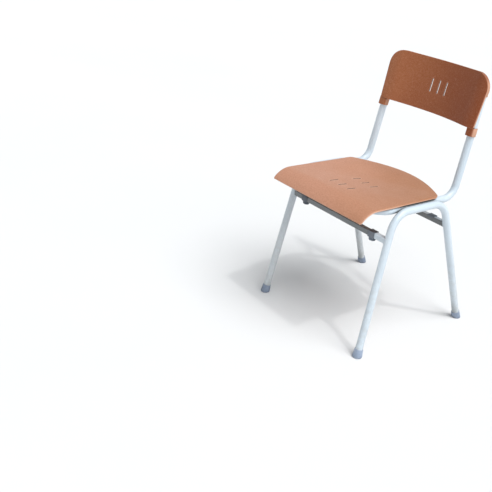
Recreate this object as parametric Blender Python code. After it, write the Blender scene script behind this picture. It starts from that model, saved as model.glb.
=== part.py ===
"""Student desk chair: bent steel tube frame with a moulded seat and backrest.

The sitter faces -Y, +X is the sitter's left and +Z is up.  The origin is on the
floor, under the middle of the chair's outline.  Lengths are in metres.
"""
import math

import bmesh
import bpy
from mathutils import Matrix, Vector

# Steel tube and bar
TUBE_R = 0.0110            # outer radius of every round tube
TUBE_WALL = 0.0015
BAR_SIDE = 0.0160          # square crossbars
BAR_WALL = 0.0015
BAR_CORNER_R = 0.0020
GAP = 0.0003               # clearance between pieces that touch
TUBE_SIDES = 20
BEND_STEPS = 6

# Floor plan of the feet and the run of the leg tubes
FOOT_X = 0.2170
FRONT_FOOT_Y = -0.2121
REAR_FOOT_Y = 0.2476
TOP_X = 0.1964             # leg frame's top run, beside the seat rail
FRONT_CORNER = (-0.1385, 0.4345)   # Y and Z where the straight runs would meet
REAR_CORNER = (0.0725, 0.4310)
FRONT_LEG_BEND_R = 0.060
REAR_LEG_BEND_R = 0.075
TUBE_END_UP = 0.0100       # length of leg axis left open below each leg tube

# Hoop: seat rails, the cross bend under the seat's front, and the uprights
RAIL_X = 0.1740
RAIL_Z_AT_ZERO = 0.43226   # rail centre height at Y = 0
RAIL_SLOPE = -0.020        # the rails fall towards the back
HOOP_FRONT_Y = -0.1921
RAIL_FLARE_Y = 0.0444      # the rails splay slightly behind this point
UPRIGHT_FOOT = (0.1765, 0.1339, 0.4300)
UPRIGHT_TOP = (0.16943, 0.18032, 0.7380)
HOOP_FRONT_BEND_R = 0.060
HOOP_REAR_BEND_R = 0.045

# Crossbars
BAR_Z = 0.3540
FRONT_BAR_Y = -0.1521
REAR_BAR_Y = 0.1044
BAR_HALF_LENGTH = 0.1960   # before the ends are coped to the legs

# Seat shell
SEAT_T = 0.0045
SEAT_HALF_W = 0.1860
SEAT_FRONT_Y = -0.2621
SEAT_CREST_Y = -0.2021     # where the front lip starts to curve down
SEAT_LIP_R = 0.0750
SEAT_TOP_Z = 0.4528
SEAT_REAR_Y = 0.1294
SEAT_REAR_BOW = 0.0700
SEAT_REAR_CORNER_R = 0.0140
SEAT_FRONT_CORNER_R = 0.0060
SEAT_EDGE_ROLL = 0.0025
SEAT_EDGE_ROLL_W = 0.0090
SEAT_ROLL_HALF_W = 0.1500  # the back edge is only rolled between the rails
SLOT_W = 0.0038
SEAT_SLOT_L = 0.0350
SEAT_SLOT_PITCH = 0.0362
SEAT_SLOT_ROWS = (-0.1555, -0.0580)

# Seat fixings: a welded tab, a boss on the shell and a screw at each corner
TAB_Y = (-0.1200, 0.0450)
TAB_X = 0.1500
TAB_T = 0.0030
TAB_HALF_L = 0.0120
TAB_INNER_X = 0.1400
TAB_RISE = 0.0035          # tab top above the rail's centre line
BOSS_R = 0.0075
BOSS_HOLE_R = 0.0023
SCREW_R = 0.0020
SCREW_HEAD_R = 0.0046
SCREW_HEAD_H = 0.0028
TAB_HOLE_R = 0.0027
SEAT_LEFT_OVER_SCREW = 0.0026

# Backrest
BACK_ORIGIN = (0.0, 0.1731, 0.6900)    # in the plane of the uprights' axes
BACK_LEAN = 0.1506                     # Y over Z along the uprights
BACK_HALF_W = 0.1832
BACK_WIDENING = 0.22       # growth of the width per metre up the backrest
BACK_T = 0.0036
BACK_CREST_D = 0.0150      # front skin forward of the uprights' plane
BACK_CREST_X = 0.1700
BACK_HOLLOW = 0.0330       # how far the middle lies behind the crests
BACK_TILT = 0.030          # the skin leans back a little more than the uprights
BACK_BOTTOM_S = -0.0545
BACK_TOP_S = 0.1025
BACK_TOP_CORNER_R = 0.0500
BACK_BOTTOM_CORNER_R = 0.0050
FLANGE_W = 0.0030
FLANGE_MIN = 0.0058
FLANGE_CORNER = 0.0125
BACK_SLOT_S = (0.0040, 0.0440)
BACK_SLOT_PITCH = 0.0270
COLLAR_R = 0.0135
COLLAR_S = (-0.0765, -0.0520)
COLLAR_FRONT_D = 0.0150
SOCKET_R = 0.0129
SOCKET_S = (0.0400, 0.0560)
SOCKET_FRONT_D = 0.0125
RIVET_S = -0.0580
RIVET_R = 0.0021
RIVET_HEAD_R = 0.0042
RIVET_HEAD_H = 0.0016

# Foot caps and stacking bumpers
CAP_H = 0.0260
CAP_TOP_R = 0.0130
CAP_BOTTOM_R = 0.0150
BUMPER_X = 0.1425
BUMPER_W = 0.0235
CLIP_T = 0.0014
PEG_HALF_W = 0.0106
PEG_HALF_D = 0.0094
PEG_DROP = 0.0190          # below the crossbar's centre line
PEG_ROUND = 0.0030

COLOURS = {
    "white_paint": ((0.70, 0.76, 0.82, 1.0), 0.38, 0.0),
    "seat_plastic": ((0.45, 0.225, 0.13, 1.0), 0.55, 0.0),
    "back_plastic": ((0.30, 0.125, 0.055, 1.0), 0.55, 0.0),
    "foot_plastic": ((0.20, 0.23, 0.32, 1.0), 0.50, 0.0),
    "bumper_plastic": ((0.075, 0.09, 0.115, 1.0), 0.60, 0.0),
    "zinc_steel": ((0.55, 0.56, 0.58, 1.0), 0.35, 1.0),
}


# ------------------------------------------------------------------ basics

def clear_scene():
    for item in list(bpy.data.objects):
        bpy.data.objects.remove(item, do_unlink=True)


def get_material(name):
    material = bpy.data.materials.get(name)
    if material:
        return material
    colour, roughness, metallic = COLOURS[name]
    material = bpy.data.materials.new(name)
    material.use_nodes = True
    shader = material.node_tree.nodes["Principled BSDF"]
    shader.inputs["Base Color"].default_value = colour
    shader.inputs["Roughness"].default_value = roughness
    shader.inputs["Metallic"].default_value = metallic
    material.diffuse_color = colour
    return material


def mesh_object(name, points, faces, material, sharp_angle=35.0):
    """Make one object from points and faces, with outward normals."""
    mesh = bpy.data.meshes.new(name)
    mesh.from_pydata([tuple(p) for p in points], [], faces)
    work = bmesh.new()
    work.from_mesh(mesh)
    bmesh.ops.recalc_face_normals(work, faces=work.faces[:])
    if work.calc_volume(signed=True) < 0.0:
        bmesh.ops.reverse_faces(work, faces=work.faces[:])
    work.to_mesh(mesh)
    work.free()
    mesh.shade_smooth()
    mesh.set_sharp_from_angle(angle=math.radians(sharp_angle))
    item = bpy.data.objects.new(name, mesh)
    bpy.context.collection.objects.link(item)
    item.data.materials.append(get_material(material))
    return item


def as_cutter(item):
    item.hide_render = True
    item.display_type = "WIRE"
    return item


def add_boolean(item, other, operation):
    """Cut, or join on, another object with the exact solver."""
    as_cutter(other)
    step = item.modifiers.new(other.name, "BOOLEAN")
    step.operation = operation
    step.solver = "EXACT"
    step.object = other


def parent_to(item, parent):
    item.parent = parent


def smooth_step(t):
    t = min(max(t, 0.0), 1.0)
    return t * t * (3.0 - 2.0 * t)


# ------------------------------------------------------- rings, tubes, rods

def frame_along(direction, hint):
    """Two unit vectors across a direction, the first nearest to hint."""
    across = hint - direction * hint.dot(direction)
    if across.length < 1e-6:
        across = direction.orthogonal()
    across.normalize()
    return across, direction.cross(across)


def circle_points(centre, direction, radius, sides, hint=Vector((1, 0, 0))):
    a, b = frame_along(direction, hint)
    ring = []
    for i in range(sides):
        angle = 2.0 * math.pi * i / sides
        ring.append(centre + radius * (math.cos(angle) * a + math.sin(angle) * b))
    return ring


def bridge_rings(rings, closed):
    """Quads between rings of equal length, lidded unless they form a loop."""
    count = len(rings[0])
    points = [p for ring in rings for p in ring]
    faces = []
    last = len(rings) if closed else len(rings) - 1
    for r in range(last):
        low = r * count
        high = ((r + 1) % len(rings)) * count
        for i in range(count):
            j = (i + 1) % count
            faces.append((low + i, low + j, high + j, high + i))
    if not closed:
        faces.append(tuple(range(count)))
        faces.append(tuple(range(len(points) - count, len(points))))
    return points, faces


def rod(name, start, end, radius, material, sides=TUBE_SIDES):
    """A solid round rod between two points."""
    start = Vector(start)
    end = Vector(end)
    direction = (end - start).normalized()
    rings = [circle_points(p, direction, radius, sides) for p in (start, end)]
    points, faces = bridge_rings(rings, closed=False)
    return mesh_object(name, points, faces, material)


def turned(name, base, direction, profile, material, sides=TUBE_SIDES):
    """A lidded solid of revolution.  profile is (distance, radius) pairs."""
    direction = Vector(direction).normalized()
    rings = []
    for distance, radius in profile:
        centre = Vector(base) + direction * distance
        rings.append(circle_points(centre, direction, radius, sides))
    points, faces = bridge_rings(rings, closed=False)
    return mesh_object(name, points, faces, material)


def rounded_path(corners, radii, steps=BEND_STEPS):
    """A polyline whose inner corners become arcs; radius 0 keeps a corner."""
    corners = [Vector(c) for c in corners]
    path = [corners[0]]
    for before, corner, after, radius in zip(corners, corners[1:], corners[2:], radii):
        if radius == 0.0:
            path.append(corner)
            continue
        back = (before - corner).normalized()
        ahead = (after - corner).normalized()
        half = 0.5 * back.angle(ahead)
        start = corner + back * (radius / math.tan(half))
        centre = corner + (back + ahead).normalized() * (radius / math.sin(half))
        sweep = math.pi - 2.0 * half
        arm = start - centre
        axis = back.cross(ahead).normalized()
        for i in range(steps + 1):
            turn = Matrix.Rotation(-sweep * i / steps, 3, axis)
            path.append(centre + turn @ arm)
    path.append(corners[-1])
    return path


def path_directions(path):
    directions = []
    for i in range(len(path)):
        ahead = path[min(i + 1, len(path) - 1)] - path[min(i, len(path) - 2)]
        behind = path[max(i, 1)] - path[max(i - 1, 0)]
        directions.append((ahead.normalized() + behind.normalized()).normalized())
    return directions


def bent_tube(name, path, material):
    """A hollow round tube along a path, open at both ends."""
    directions = path_directions(path)
    a, _ = frame_along(directions[0], Vector((0, 0, 1)))
    outer = []
    inner = []
    for centre, direction in zip(path, directions):
        a = (a - direction * a.dot(direction)).normalized()
        b = direction.cross(a)
        for rings, radius in ((outer, TUBE_R), (inner, TUBE_R - TUBE_WALL)):
            ring = []
            for i in range(TUBE_SIDES):
                angle = 2.0 * math.pi * i / TUBE_SIDES
                ring.append(centre + radius * (math.cos(angle) * a + math.sin(angle) * b))
            rings.append(ring)
    points, faces = bridge_rings(outer + inner[::-1], closed=True)
    return mesh_object(name, points, faces, material)


# ----------------------------------------------------------------- frame

def rail_z(y):
    return RAIL_Z_AT_ZERO + RAIL_SLOPE * y


def leg_axis(side, is_front):
    """Floor point of a leg's axis and the unit vector up along it."""
    y = FRONT_FOOT_Y if is_front else REAR_FOOT_Y
    top_y, top_z = FRONT_CORNER if is_front else REAR_CORNER
    foot = Vector((side * FOOT_X, y, 0.0))
    corner = Vector((side * TOP_X, top_y, top_z))
    return foot, (corner - foot).normalized()


def make_leg_frame(name, side):
    front_foot, front_up = leg_axis(side, True)
    rear_foot, rear_up = leg_axis(side, False)
    corners = [
        front_foot + front_up * TUBE_END_UP,
        (side * TOP_X, *FRONT_CORNER),
        (side * TOP_X, *REAR_CORNER),
        rear_foot + rear_up * TUBE_END_UP,
    ]
    path = rounded_path(corners, (FRONT_LEG_BEND_R, REAR_LEG_BEND_R))
    return bent_tube(name, path, "white_paint")


def upright_axis(side):
    """Top end of an upright's axis and the unit vector down along it."""
    top = Vector(UPRIGHT_TOP)
    foot = Vector(UPRIGHT_FOOT)
    top.x *= side
    foot.x *= side
    return top, (foot - top).normalized()


def make_hoop():
    right_top, right_down = upright_axis(-1)
    left_top, left_down = upright_axis(1)
    foot_x, foot_y, _ = UPRIGHT_FOOT
    corners = [
        right_top,
        (-foot_x, foot_y, rail_z(foot_y)),
        (-RAIL_X, RAIL_FLARE_Y, rail_z(RAIL_FLARE_Y)),
        (-RAIL_X, HOOP_FRONT_Y, rail_z(HOOP_FRONT_Y)),
        (RAIL_X, HOOP_FRONT_Y, rail_z(HOOP_FRONT_Y)),
        (RAIL_X, RAIL_FLARE_Y, rail_z(RAIL_FLARE_Y)),
        (foot_x, foot_y, rail_z(foot_y)),
        left_top,
    ]
    half_radii = [HOOP_REAR_BEND_R, 0.0, HOOP_FRONT_BEND_R]
    radii = half_radii + half_radii[::-1]
    return bent_tube("back_hoop", rounded_path(corners, radii), "white_paint")


def rounded_square(half, corner, steps=3):
    """Points of a square with rounded corners, as (a, b) pairs."""
    points = []
    for quarter in range(4):
        middle = math.pi * (0.25 + 0.5 * quarter)
        ca = math.copysign(half - corner, math.cos(middle))
        cb = math.copysign(half - corner, math.sin(middle))
        for i in range(steps + 1):
            angle = 0.5 * math.pi * (quarter + i / steps)
            points.append((ca + corner * math.cos(angle), cb + corner * math.sin(angle)))
    return points


def make_crossbar(name, y, is_front):
    """A square tube with its ends coped to the round legs."""
    outer = rounded_square(0.5 * BAR_SIDE, BAR_CORNER_R)
    inner = rounded_square(0.5 * BAR_SIDE - BAR_WALL, BAR_CORNER_R - 0.5 * BAR_WALL)
    rings = []
    for x, outline in (
        (-BAR_HALF_LENGTH, outer),
        (BAR_HALF_LENGTH, outer),
        (BAR_HALF_LENGTH, inner),
        (-BAR_HALF_LENGTH, inner),
    ):
        rings.append([Vector((x, y + a, BAR_Z + b)) for a, b in outline])
    points, faces = bridge_rings(rings, closed=True)
    bar = mesh_object(name, points, faces, "white_paint")
    for side, label in ((1, "left"), (-1, "right")):
        foot, up = leg_axis(side, is_front)
        start = foot + up * (BAR_Z - 0.05)
        end = foot + up * (BAR_Z + 0.07)
        cutter = rod(f"{name}_cope_{label}", start, end, TUBE_R + GAP, "white_paint")
        add_boolean(bar, cutter, "DIFFERENCE")
    return bar


# ------------------------------------------------------------- small pieces

def make_foot_cap(name, side, is_front):
    """A moulded cap: flat on the floor, bored along the leg it is pushed on."""
    foot, up = leg_axis(side, is_front)
    straight_up = Vector((0, 0, 1))
    profile = (
        (0.0000, CAP_BOTTOM_R - 0.0030, 0.0),
        (0.0008, CAP_BOTTOM_R - 0.0010, 0.0),
        (0.0030, CAP_BOTTOM_R, 0.0),
        (0.0120, 0.5 * (CAP_BOTTOM_R + CAP_TOP_R), 0.5),
        (CAP_H - 0.0010, CAP_TOP_R, 1.0),
        (CAP_H, CAP_TOP_R - 0.0008, 1.0),
        (CAP_H, TUBE_R + GAP, 1.0),
        (TUBE_END_UP - GAP, TUBE_R + GAP, 1.0),
    )
    rings = []
    for distance, radius, tilt in profile:
        normal = straight_up.lerp(up, tilt).normalized()
        centre = foot + up * (distance / up.z if tilt == 0.0 else distance)
        rings.append(circle_points(centre, normal, radius, TUBE_SIDES))
    points, faces = bridge_rings(rings, closed=False)
    return mesh_object(name, points, faces, "foot_plastic", 50.0)


def extrude_outline(name, outline, x0, x1, material):
    """Extrude a (y, z) outline along X."""
    rings = [[Vector((x, y, z)) for y, z in outline] for x in (x0, x1)]
    points, faces = bridge_rings(rings, closed=False)
    return mesh_object(name, points, faces, material, 30.0)


def add_bevel(item, width, segments):
    step = item.modifiers.new("edge_round", "BEVEL")
    step.width = width
    step.segments = segments
    step.limit_method = "ANGLE"
    step.angle_limit = math.radians(40.0)


def clip_outline(y, is_front):
    """Section of a clip round a crossbar, open at the back or underneath."""
    inner = 0.5 * BAR_SIDE + GAP
    outer = inner + CLIP_T
    if is_front:
        lip = 0.55 * inner
        pairs = [
            (outer, outer), (-outer, outer), (-outer, -outer), (outer, -outer),
            (outer, -lip), (inner, -lip), (inner, -inner), (-inner, -inner),
            (-inner, inner), (inner, inner), (inner, lip), (outer, lip),
        ]
    else:
        skirt = 0.55 * inner
        pairs = [
            (outer, outer), (-outer, outer), (-outer, skirt), (-inner, skirt),
            (-inner, inner), (inner, inner), (inner, skirt), (outer, skirt),
        ]
    return [(y + a, BAR_Z + b) for a, b in pairs]


def make_peg(name, x, y):
    """The oval stacking peg under a front bumper, rounded at the bottom."""
    top = BAR_Z - 0.5 * BAR_SIDE - GAP - 0.5 * CLIP_T
    bottom = BAR_Z - PEG_DROP
    levels = ((top, 0.0), (bottom + PEG_ROUND, 0.0))
    for i in range(1, 4):
        angle = 0.5 * math.pi * i / 3
        drop = PEG_ROUND * math.sin(angle)
        levels += ((bottom + PEG_ROUND - drop, PEG_ROUND * (1.0 - math.cos(angle))),)
    rings = []
    for z, inset in levels:
        ring = []
        for i in range(TUBE_SIDES):
            angle = 2.0 * math.pi * i / TUBE_SIDES
            dx = (PEG_HALF_W - inset) * math.cos(angle)
            dy = (PEG_HALF_D - inset) * math.sin(angle)
            ring.append(Vector((x + dx, y + dy, z)))
        rings.append(ring)
    points, faces = bridge_rings(rings, closed=False)
    return mesh_object(name, points, faces, "bumper_plastic")


def make_bumper(name, side, y, is_front):
    centre = side * BUMPER_X
    x0 = centre - 0.5 * BUMPER_W
    x1 = centre + 0.5 * BUMPER_W
    bumper = extrude_outline(name, clip_outline(y, is_front), x0, x1, "bumper_plastic")
    add_bevel(bumper, 0.0005, 1)
    if is_front:
        add_boolean(bumper, make_peg(f"{name}_peg", centre, y), "UNION")
    return bumper


def make_tab(name, side, y):
    """A flat steel tab welded to the inside of a seat rail."""
    top = rail_z(y) + TAB_RISE
    outline = []
    inner_x = TAB_INNER_X
    for px, py in (
        (RAIL_X, y - TAB_HALF_L), (RAIL_X, y + TAB_HALF_L),
        (inner_x + 0.004, y + TAB_HALF_L), (inner_x + 0.0012, y + TAB_HALF_L - 0.0012),
        (inner_x, y + TAB_HALF_L - 0.004), (inner_x, y - TAB_HALF_L + 0.004),
        (inner_x + 0.0012, y - TAB_HALF_L + 0.0012), (inner_x + 0.004, y - TAB_HALF_L),
    ):
        outline.append((side * px, py))
    rings = [[Vector((px, py, z)) for px, py in outline] for z in (top - TAB_T, top)]
    points, faces = bridge_rings(rings, closed=False)
    tab = mesh_object(name, points, faces, "white_paint")
    start = (side * RAIL_X, y - 0.03, rail_z(y - 0.03))
    end = (side * RAIL_X, y + 0.03, rail_z(y + 0.03))
    cope = rod(f"{name}_cope", start, end, TUBE_R + GAP, "white_paint", 32)
    add_boolean(tab, cope, "DIFFERENCE")
    low = (side * TAB_X, y, top - TAB_T - 0.01)
    high = (side * TAB_X, y, top + 0.01)
    add_boolean(tab, rod(f"{name}_hole", low, high, TAB_HOLE_R, "white_paint", 16), "DIFFERENCE")
    return tab


def screw_top_z(y):
    return seat_z(TAB_X, y) - SEAT_LEFT_OVER_SCREW


def make_screw(name, side, y):
    under = rail_z(y) + TAB_RISE - TAB_T - GAP
    tip = screw_top_z(y) - GAP - under
    profile = (
        (-SCREW_HEAD_H, 0.55 * SCREW_HEAD_R),
        (-0.75 * SCREW_HEAD_H, 0.85 * SCREW_HEAD_R),
        (-0.35 * SCREW_HEAD_H, SCREW_HEAD_R),
        (0.0, SCREW_HEAD_R),
        (0.0, SCREW_R),
        (tip - 0.0012, SCREW_R),
        (tip, 0.5 * SCREW_R),
    )
    return turned(name, (side * TAB_X, y, under), (0, 0, 1), profile, "zinc_steel", 16)


def make_rivet(name, side):
    """A dome-head rivet through the back of a collar and its upright."""
    centre = tube_point(side, RIVET_S)
    out = -back_axes()[1]
    seat = COLLAR_R + GAP
    profile = (
        (TUBE_R - 0.0050, 0.8 * RIVET_R),
        (TUBE_R - 0.0044, RIVET_R),
        (seat, RIVET_R),
        (seat, RIVET_HEAD_R),
        (seat + 0.5 * RIVET_HEAD_H, 0.85 * RIVET_HEAD_R),
        (seat + RIVET_HEAD_H, 0.35 * RIVET_HEAD_R),
    )
    return turned(name, centre, out, profile, "zinc_steel", 16)


# ------------------------------------------------------- rounded edge sheets

def edge_columns(half_width, corner, middle_steps, corner_steps):
    """X of the grid's columns as (fixed part, share of the corner radius)."""
    columns = []
    for i in range(corner_steps):
        angle = 0.5 * math.pi * (1.0 - i / corner_steps)
        columns.append((-1.0, math.sin(angle)))
    for i in range(middle_steps + 1):
        columns.append((-1.0 + 2.0 * i / middle_steps, 0.0))
    for i in range(1, corner_steps + 1):
        angle = 0.5 * math.pi * i / corner_steps
        columns.append((1.0, math.sin(angle)))
    flat = half_width - corner
    return [(share, flat, math.copysign(sine, share)) for share, sine in columns]


def column_x(column, corner):
    share, flat, sine = column
    return share * flat + sine * corner


def corner_drop(x, half_width, corner):
    """How far a rounded corner has fallen from the edge at x."""
    over = abs(x) - (half_width - corner)
    if over <= 0.0 or corner <= 0.0:
        return 0.0
    return corner - math.sqrt(max(corner * corner - over * over, 0.0))


def outline_loop(grid):
    """The grid's rim, once round."""
    loop = list(grid[0])
    loop += [row[-1] for row in grid[1:]]
    loop += list(reversed(grid[-1]))[1:]
    loop += [row[0] for row in reversed(grid[1:-1])]
    return loop


def sheet_solid(name, grids, loops, material):
    """Close a front grid and a back grid with rim loops in between."""
    front, back = grids
    rows = len(front)
    cols = len(front[0])
    points = []
    faces = []
    rims = []
    for grid in (front, back):
        base = len(points)
        points += [p for row in grid for p in row]
        index = [[base + r * cols + c for c in range(cols)] for r in range(rows)]
        for r in range(rows - 1):
            for c in range(cols - 1):
                quad = (index[r][c], index[r][c + 1], index[r + 1][c + 1], index[r + 1][c])
                faces.append(quad)
        rims.append(outline_loop(index))
    chain = [rims[0]]
    for loop in loops:
        base = len(points)
        points += loop
        chain.append(list(range(base, base + len(loop))))
    chain.append(rims[1])
    for near, far in zip(chain, chain[1:]):
        for i in range(len(near)):
            j = (i + 1) % len(near)
            faces.append((near[i], near[j], far[j], far[i]))
    return mesh_object(name, points, faces, material, 40.0)


# ------------------------------------------------------------------- seat

def seat_rear_y(x, inset=0.0):
    share = min(abs(x) / 0.180, 1.05)
    bow = SEAT_REAR_BOW * share ** 1.9
    corner = max(SEAT_REAR_CORNER_R - inset, 0.001)
    return SEAT_REAR_Y - inset - bow - corner_drop(x, SEAT_HALF_W - inset, corner)


def seat_front_y(x, inset=0.0):
    corner = max(SEAT_FRONT_CORNER_R - inset, 0.001)
    return SEAT_FRONT_Y + inset + corner_drop(x, SEAT_HALF_W - inset, corner)


def seat_side_profile(y):
    """Height of the seat along its sides, before the edge is rolled."""
    run = y - SEAT_CREST_Y
    if run >= 0.0:
        return SEAT_TOP_Z + RAIL_SLOPE * run
    run = max(run, -0.97 * SEAT_LIP_R)
    return SEAT_TOP_Z - SEAT_LIP_R + math.sqrt(SEAT_LIP_R ** 2 - run * run)


def seat_crown(y):
    """Height of the centre line over the sides: a crown, then a dish."""
    stations = ((-0.2621, 0.0), (-0.2021, 0.0035), (0.0080, -0.0122), (0.1294, 0.0010))
    if y <= stations[0][0]:
        return stations[0][1]
    for (y0, h0), (y1, h1) in zip(stations, stations[1:]):
        if y <= y1:
            return h0 + (h1 - h0) * smooth_step((y - y0) / (y1 - y0))
    return stations[-1][1]


def seat_z(x, y):
    """Height of the seat's top surface."""
    spread = max(1.0 - (x / SEAT_HALF_W) ** 2, 0.0) ** 2
    height = seat_side_profile(y) + seat_crown(y) * spread
    side = max(1.0 - max(SEAT_HALF_W - abs(x), 0.0) / SEAT_EDGE_ROLL_W, 0.0)
    rear = max(1.0 - max(seat_rear_y(x) - y, 0.0) / SEAT_EDGE_ROLL_W, 0.0)
    rear *= max(1.0 - (x / SEAT_ROLL_HALF_W) ** 2, 0.0)
    return height - SEAT_EDGE_ROLL * (side * side + rear * rear)


def seat_point(x, y, depth):
    """A point at a depth below the top surface, along its normal."""
    step = 0.0005
    slope_x = (seat_z(x + step, y) - seat_z(x - step, y)) / (2.0 * step)
    slope_y = (seat_z(x, y + step) - seat_z(x, y - step)) / (2.0 * step)
    normal = Vector((-slope_x, -slope_y, 1.0)).normalized()
    return Vector((x, y, seat_z(x, y))) - normal * depth


def seat_rows():
    """Shares of the way from the front edge to the back one."""
    lip = [0.160 * i / 7 for i in range(7)]
    body = [0.160 + (0.960 - 0.160) * i / 11 for i in range(12)]
    rear = [0.976, 0.990, 1.0]
    return lip + body + rear


def seat_grid(inset, depth):
    columns = edge_columns(SEAT_HALF_W, SEAT_REAR_CORNER_R, 12, 4)
    corner = max(SEAT_REAR_CORNER_R - inset, 0.001)
    grid = []
    for share in seat_rows():
        row = []
        for column in columns:
            x = column_x(column, corner)
            y0 = seat_front_y(x, inset)
            y1 = seat_rear_y(x, inset)
            row.append(seat_point(x, y0 + (y1 - y0) * share, depth))
        grid.append(row)
    return grid


def slot_cutter(name, centre, along, through, length, depth):
    """A bar with round ends, along one direction and cut through another."""
    across = along.cross(through).normalized()
    half = 0.5 * (length - SLOT_W)
    outline = []
    for end in (1, -1):
        for i in range(7):
            angle = math.pi * (i / 6 - 0.5)
            outline.append((
                end * (half + 0.5 * SLOT_W * math.cos(angle)),
                end * 0.5 * SLOT_W * math.sin(angle),
            ))
    rings = []
    for level in (-depth, depth):
        base = centre + through * level
        rings.append([base + along * a + across * b for a, b in outline])
    points, faces = bridge_rings(rings, closed=False)
    return mesh_object(name, points, faces, "seat_plastic")


def make_seat():
    edge = 0.0014
    rims = (
        (0.30 * edge, 0.30 * edge), (0.0, edge),
        (0.0, SEAT_T - edge), (0.30 * edge, SEAT_T - 0.30 * edge),
    )
    grids = (seat_grid(edge, 0.0), seat_grid(edge, SEAT_T))
    loops = [outline_loop(seat_grid(inset, depth)) for inset, depth in rims]
    seat = sheet_solid("seat_shell", grids, loops, "seat_plastic")
    for side in (1, -1):
        for y in TAB_Y:
            low = rail_z(y) + TAB_RISE + GAP
            label = f"boss_{'left' if side > 0 else 'right'}_{'front' if y < 0 else 'rear'}"
            start = (side * TAB_X, y, low)
            end = (side * TAB_X, y, seat_z(TAB_X, y) - 0.5 * SEAT_T)
            add_boolean(seat, rod(label, start, end, BOSS_R, "seat_plastic", 16), "UNION")
            start = (side * TAB_X, y, low - 0.01)
            end = (side * TAB_X, y, screw_top_z(y))
            bore = rod(f"{label}_bore", start, end, BOSS_HOLE_R, "seat_plastic", 12)
            add_boolean(seat, bore, "DIFFERENCE")
    for row, y in enumerate(SEAT_SLOT_ROWS):
        slope = (seat_z(0.0, y + 0.01) - seat_z(0.0, y - 0.01)) / 0.02
        along = Vector((0.0, 1.0, slope)).normalized()
        through = Vector((0.0, -slope, 1.0)).normalized()
        for column in (-1, 0, 1):
            x = column * SEAT_SLOT_PITCH
            centre = Vector((x, y, seat_z(x, y)))
            name = f"seat_slot_{row}_{column + 1}"
            cutter = slot_cutter(name, centre, along, through, SEAT_SLOT_L, 0.02)
            add_boolean(seat, cutter, "DIFFERENCE")
    return seat


# --------------------------------------------------------------- backrest

def back_axes():
    """Unit vectors up along the backrest and forward out of it."""
    up = Vector((0.0, BACK_LEAN, 1.0)).normalized()
    forward = Vector((0.0, -1.0, BACK_LEAN)).normalized()
    return up, forward


def back_point(x, s, d):
    """A point from the backrest's own coordinates: across, up and forward."""
    up, forward = back_axes()
    return Vector(BACK_ORIGIN) + Vector((x, 0.0, 0.0)) + up * s + forward * d


def tube_x(side, s):
    """X of an upright's axis at a height along the backrest."""
    top = Vector(UPRIGHT_TOP)
    foot = Vector(UPRIGHT_FOOT)
    z = back_point(0.0, s, 0.0).z
    return side * (foot.x + (top.x - foot.x) * (z - foot.z) / (top.z - foot.z))


def tube_point(side, s):
    return back_point(tube_x(side, s), s, 0.0)


def back_front_d(x):
    """Forward distance of the front skin: hollow middle, rounded shoulders."""
    x = abs(x)
    bend = 0.135
    k = BACK_HOLLOW / (bend * bend + bend * (BACK_CREST_X - bend))
    if x <= bend:
        return BACK_CREST_D - BACK_HOLLOW + k * x * x
    if x <= BACK_CREST_X:
        run = x - bend
        span = BACK_CREST_X - bend
        rise = 2.0 * k * bend * (run - 0.5 * run * run / span)
        return BACK_CREST_D - BACK_HOLLOW + k * bend * bend + rise
    return BACK_CREST_D - 8.0 * (x - BACK_CREST_X) ** 2


def back_skin_point(x, s, depth):
    """A point at a depth behind the front skin, which widens upwards."""
    wide_x = x * (1.0 + BACK_WIDENING * s)
    return back_point(wide_x, s, back_front_d(x) - BACK_TILT * s - depth)


def back_bottom_s(x, inset=0.0):
    corner = max(BACK_BOTTOM_CORNER_R - inset, 0.001)
    return BACK_BOTTOM_S + inset + corner_drop(x, BACK_HALF_W - inset, corner)


def back_top_s(x, inset=0.0):
    corner = BACK_TOP_CORNER_R - inset
    return BACK_TOP_S - inset - corner_drop(x, BACK_HALF_W - inset, corner)


def flange_depth(x, s):
    """The rim is deepest round the top corners, where the uprights end."""
    corner = smooth_step((s - 0.036) / 0.018) * smooth_step((abs(x) - 0.090) / 0.060)
    return FLANGE_MIN + (FLANGE_CORNER - FLANGE_MIN) * corner


def back_grid(inset, depth, from_flange=False):
    """Grid of points at a depth behind the front skin, or up from the rim."""
    columns = edge_columns(BACK_HALF_W, BACK_TOP_CORNER_R, 16, 7)
    rows = 9
    grid = []
    for r in range(rows):
        row = []
        for column in columns:
            x = column_x(column, BACK_TOP_CORNER_R - inset)
            s0 = back_bottom_s(x, inset)
            s1 = back_top_s(x, inset)
            s = s0 + (s1 - s0) * r / (rows - 1)
            back = flange_depth(x, s) - depth if from_flange else depth
            row.append(back_skin_point(x, s, back))
        grid.append(row)
    return grid


def ring_at(side, s, radius, front_d):
    """Section of a collar: round at the back, squared off at the front."""
    centre_x = tube_x(side, s)
    ring = []
    for i in range(13):
        angle = math.pi * (1.0 + i / 12)
        ring.append(back_point(centre_x + radius * math.cos(angle), s, radius * math.sin(angle)))
    corner = 0.45 * radius
    for i in range(5):
        angle = 0.5 * math.pi * i / 4
        a = radius - corner + corner * math.cos(angle)
        b = front_d - corner + corner * math.sin(angle)
        ring.append(back_point(centre_x + a, s, b))
    for i in range(5):
        angle = 0.5 * math.pi * (1.0 + i / 4)
        a = -radius + corner + corner * math.cos(angle)
        b = front_d - corner + corner * math.sin(angle)
        ring.append(back_point(centre_x + a, s, b))
    return ring


def make_collar(name, side, levels, front_d):
    rings = [ring_at(side, s, radius, front_d) for s, radius in levels]
    points, faces = bridge_rings(rings, closed=False)
    return mesh_object(name, points, faces, "back_plastic")


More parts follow.
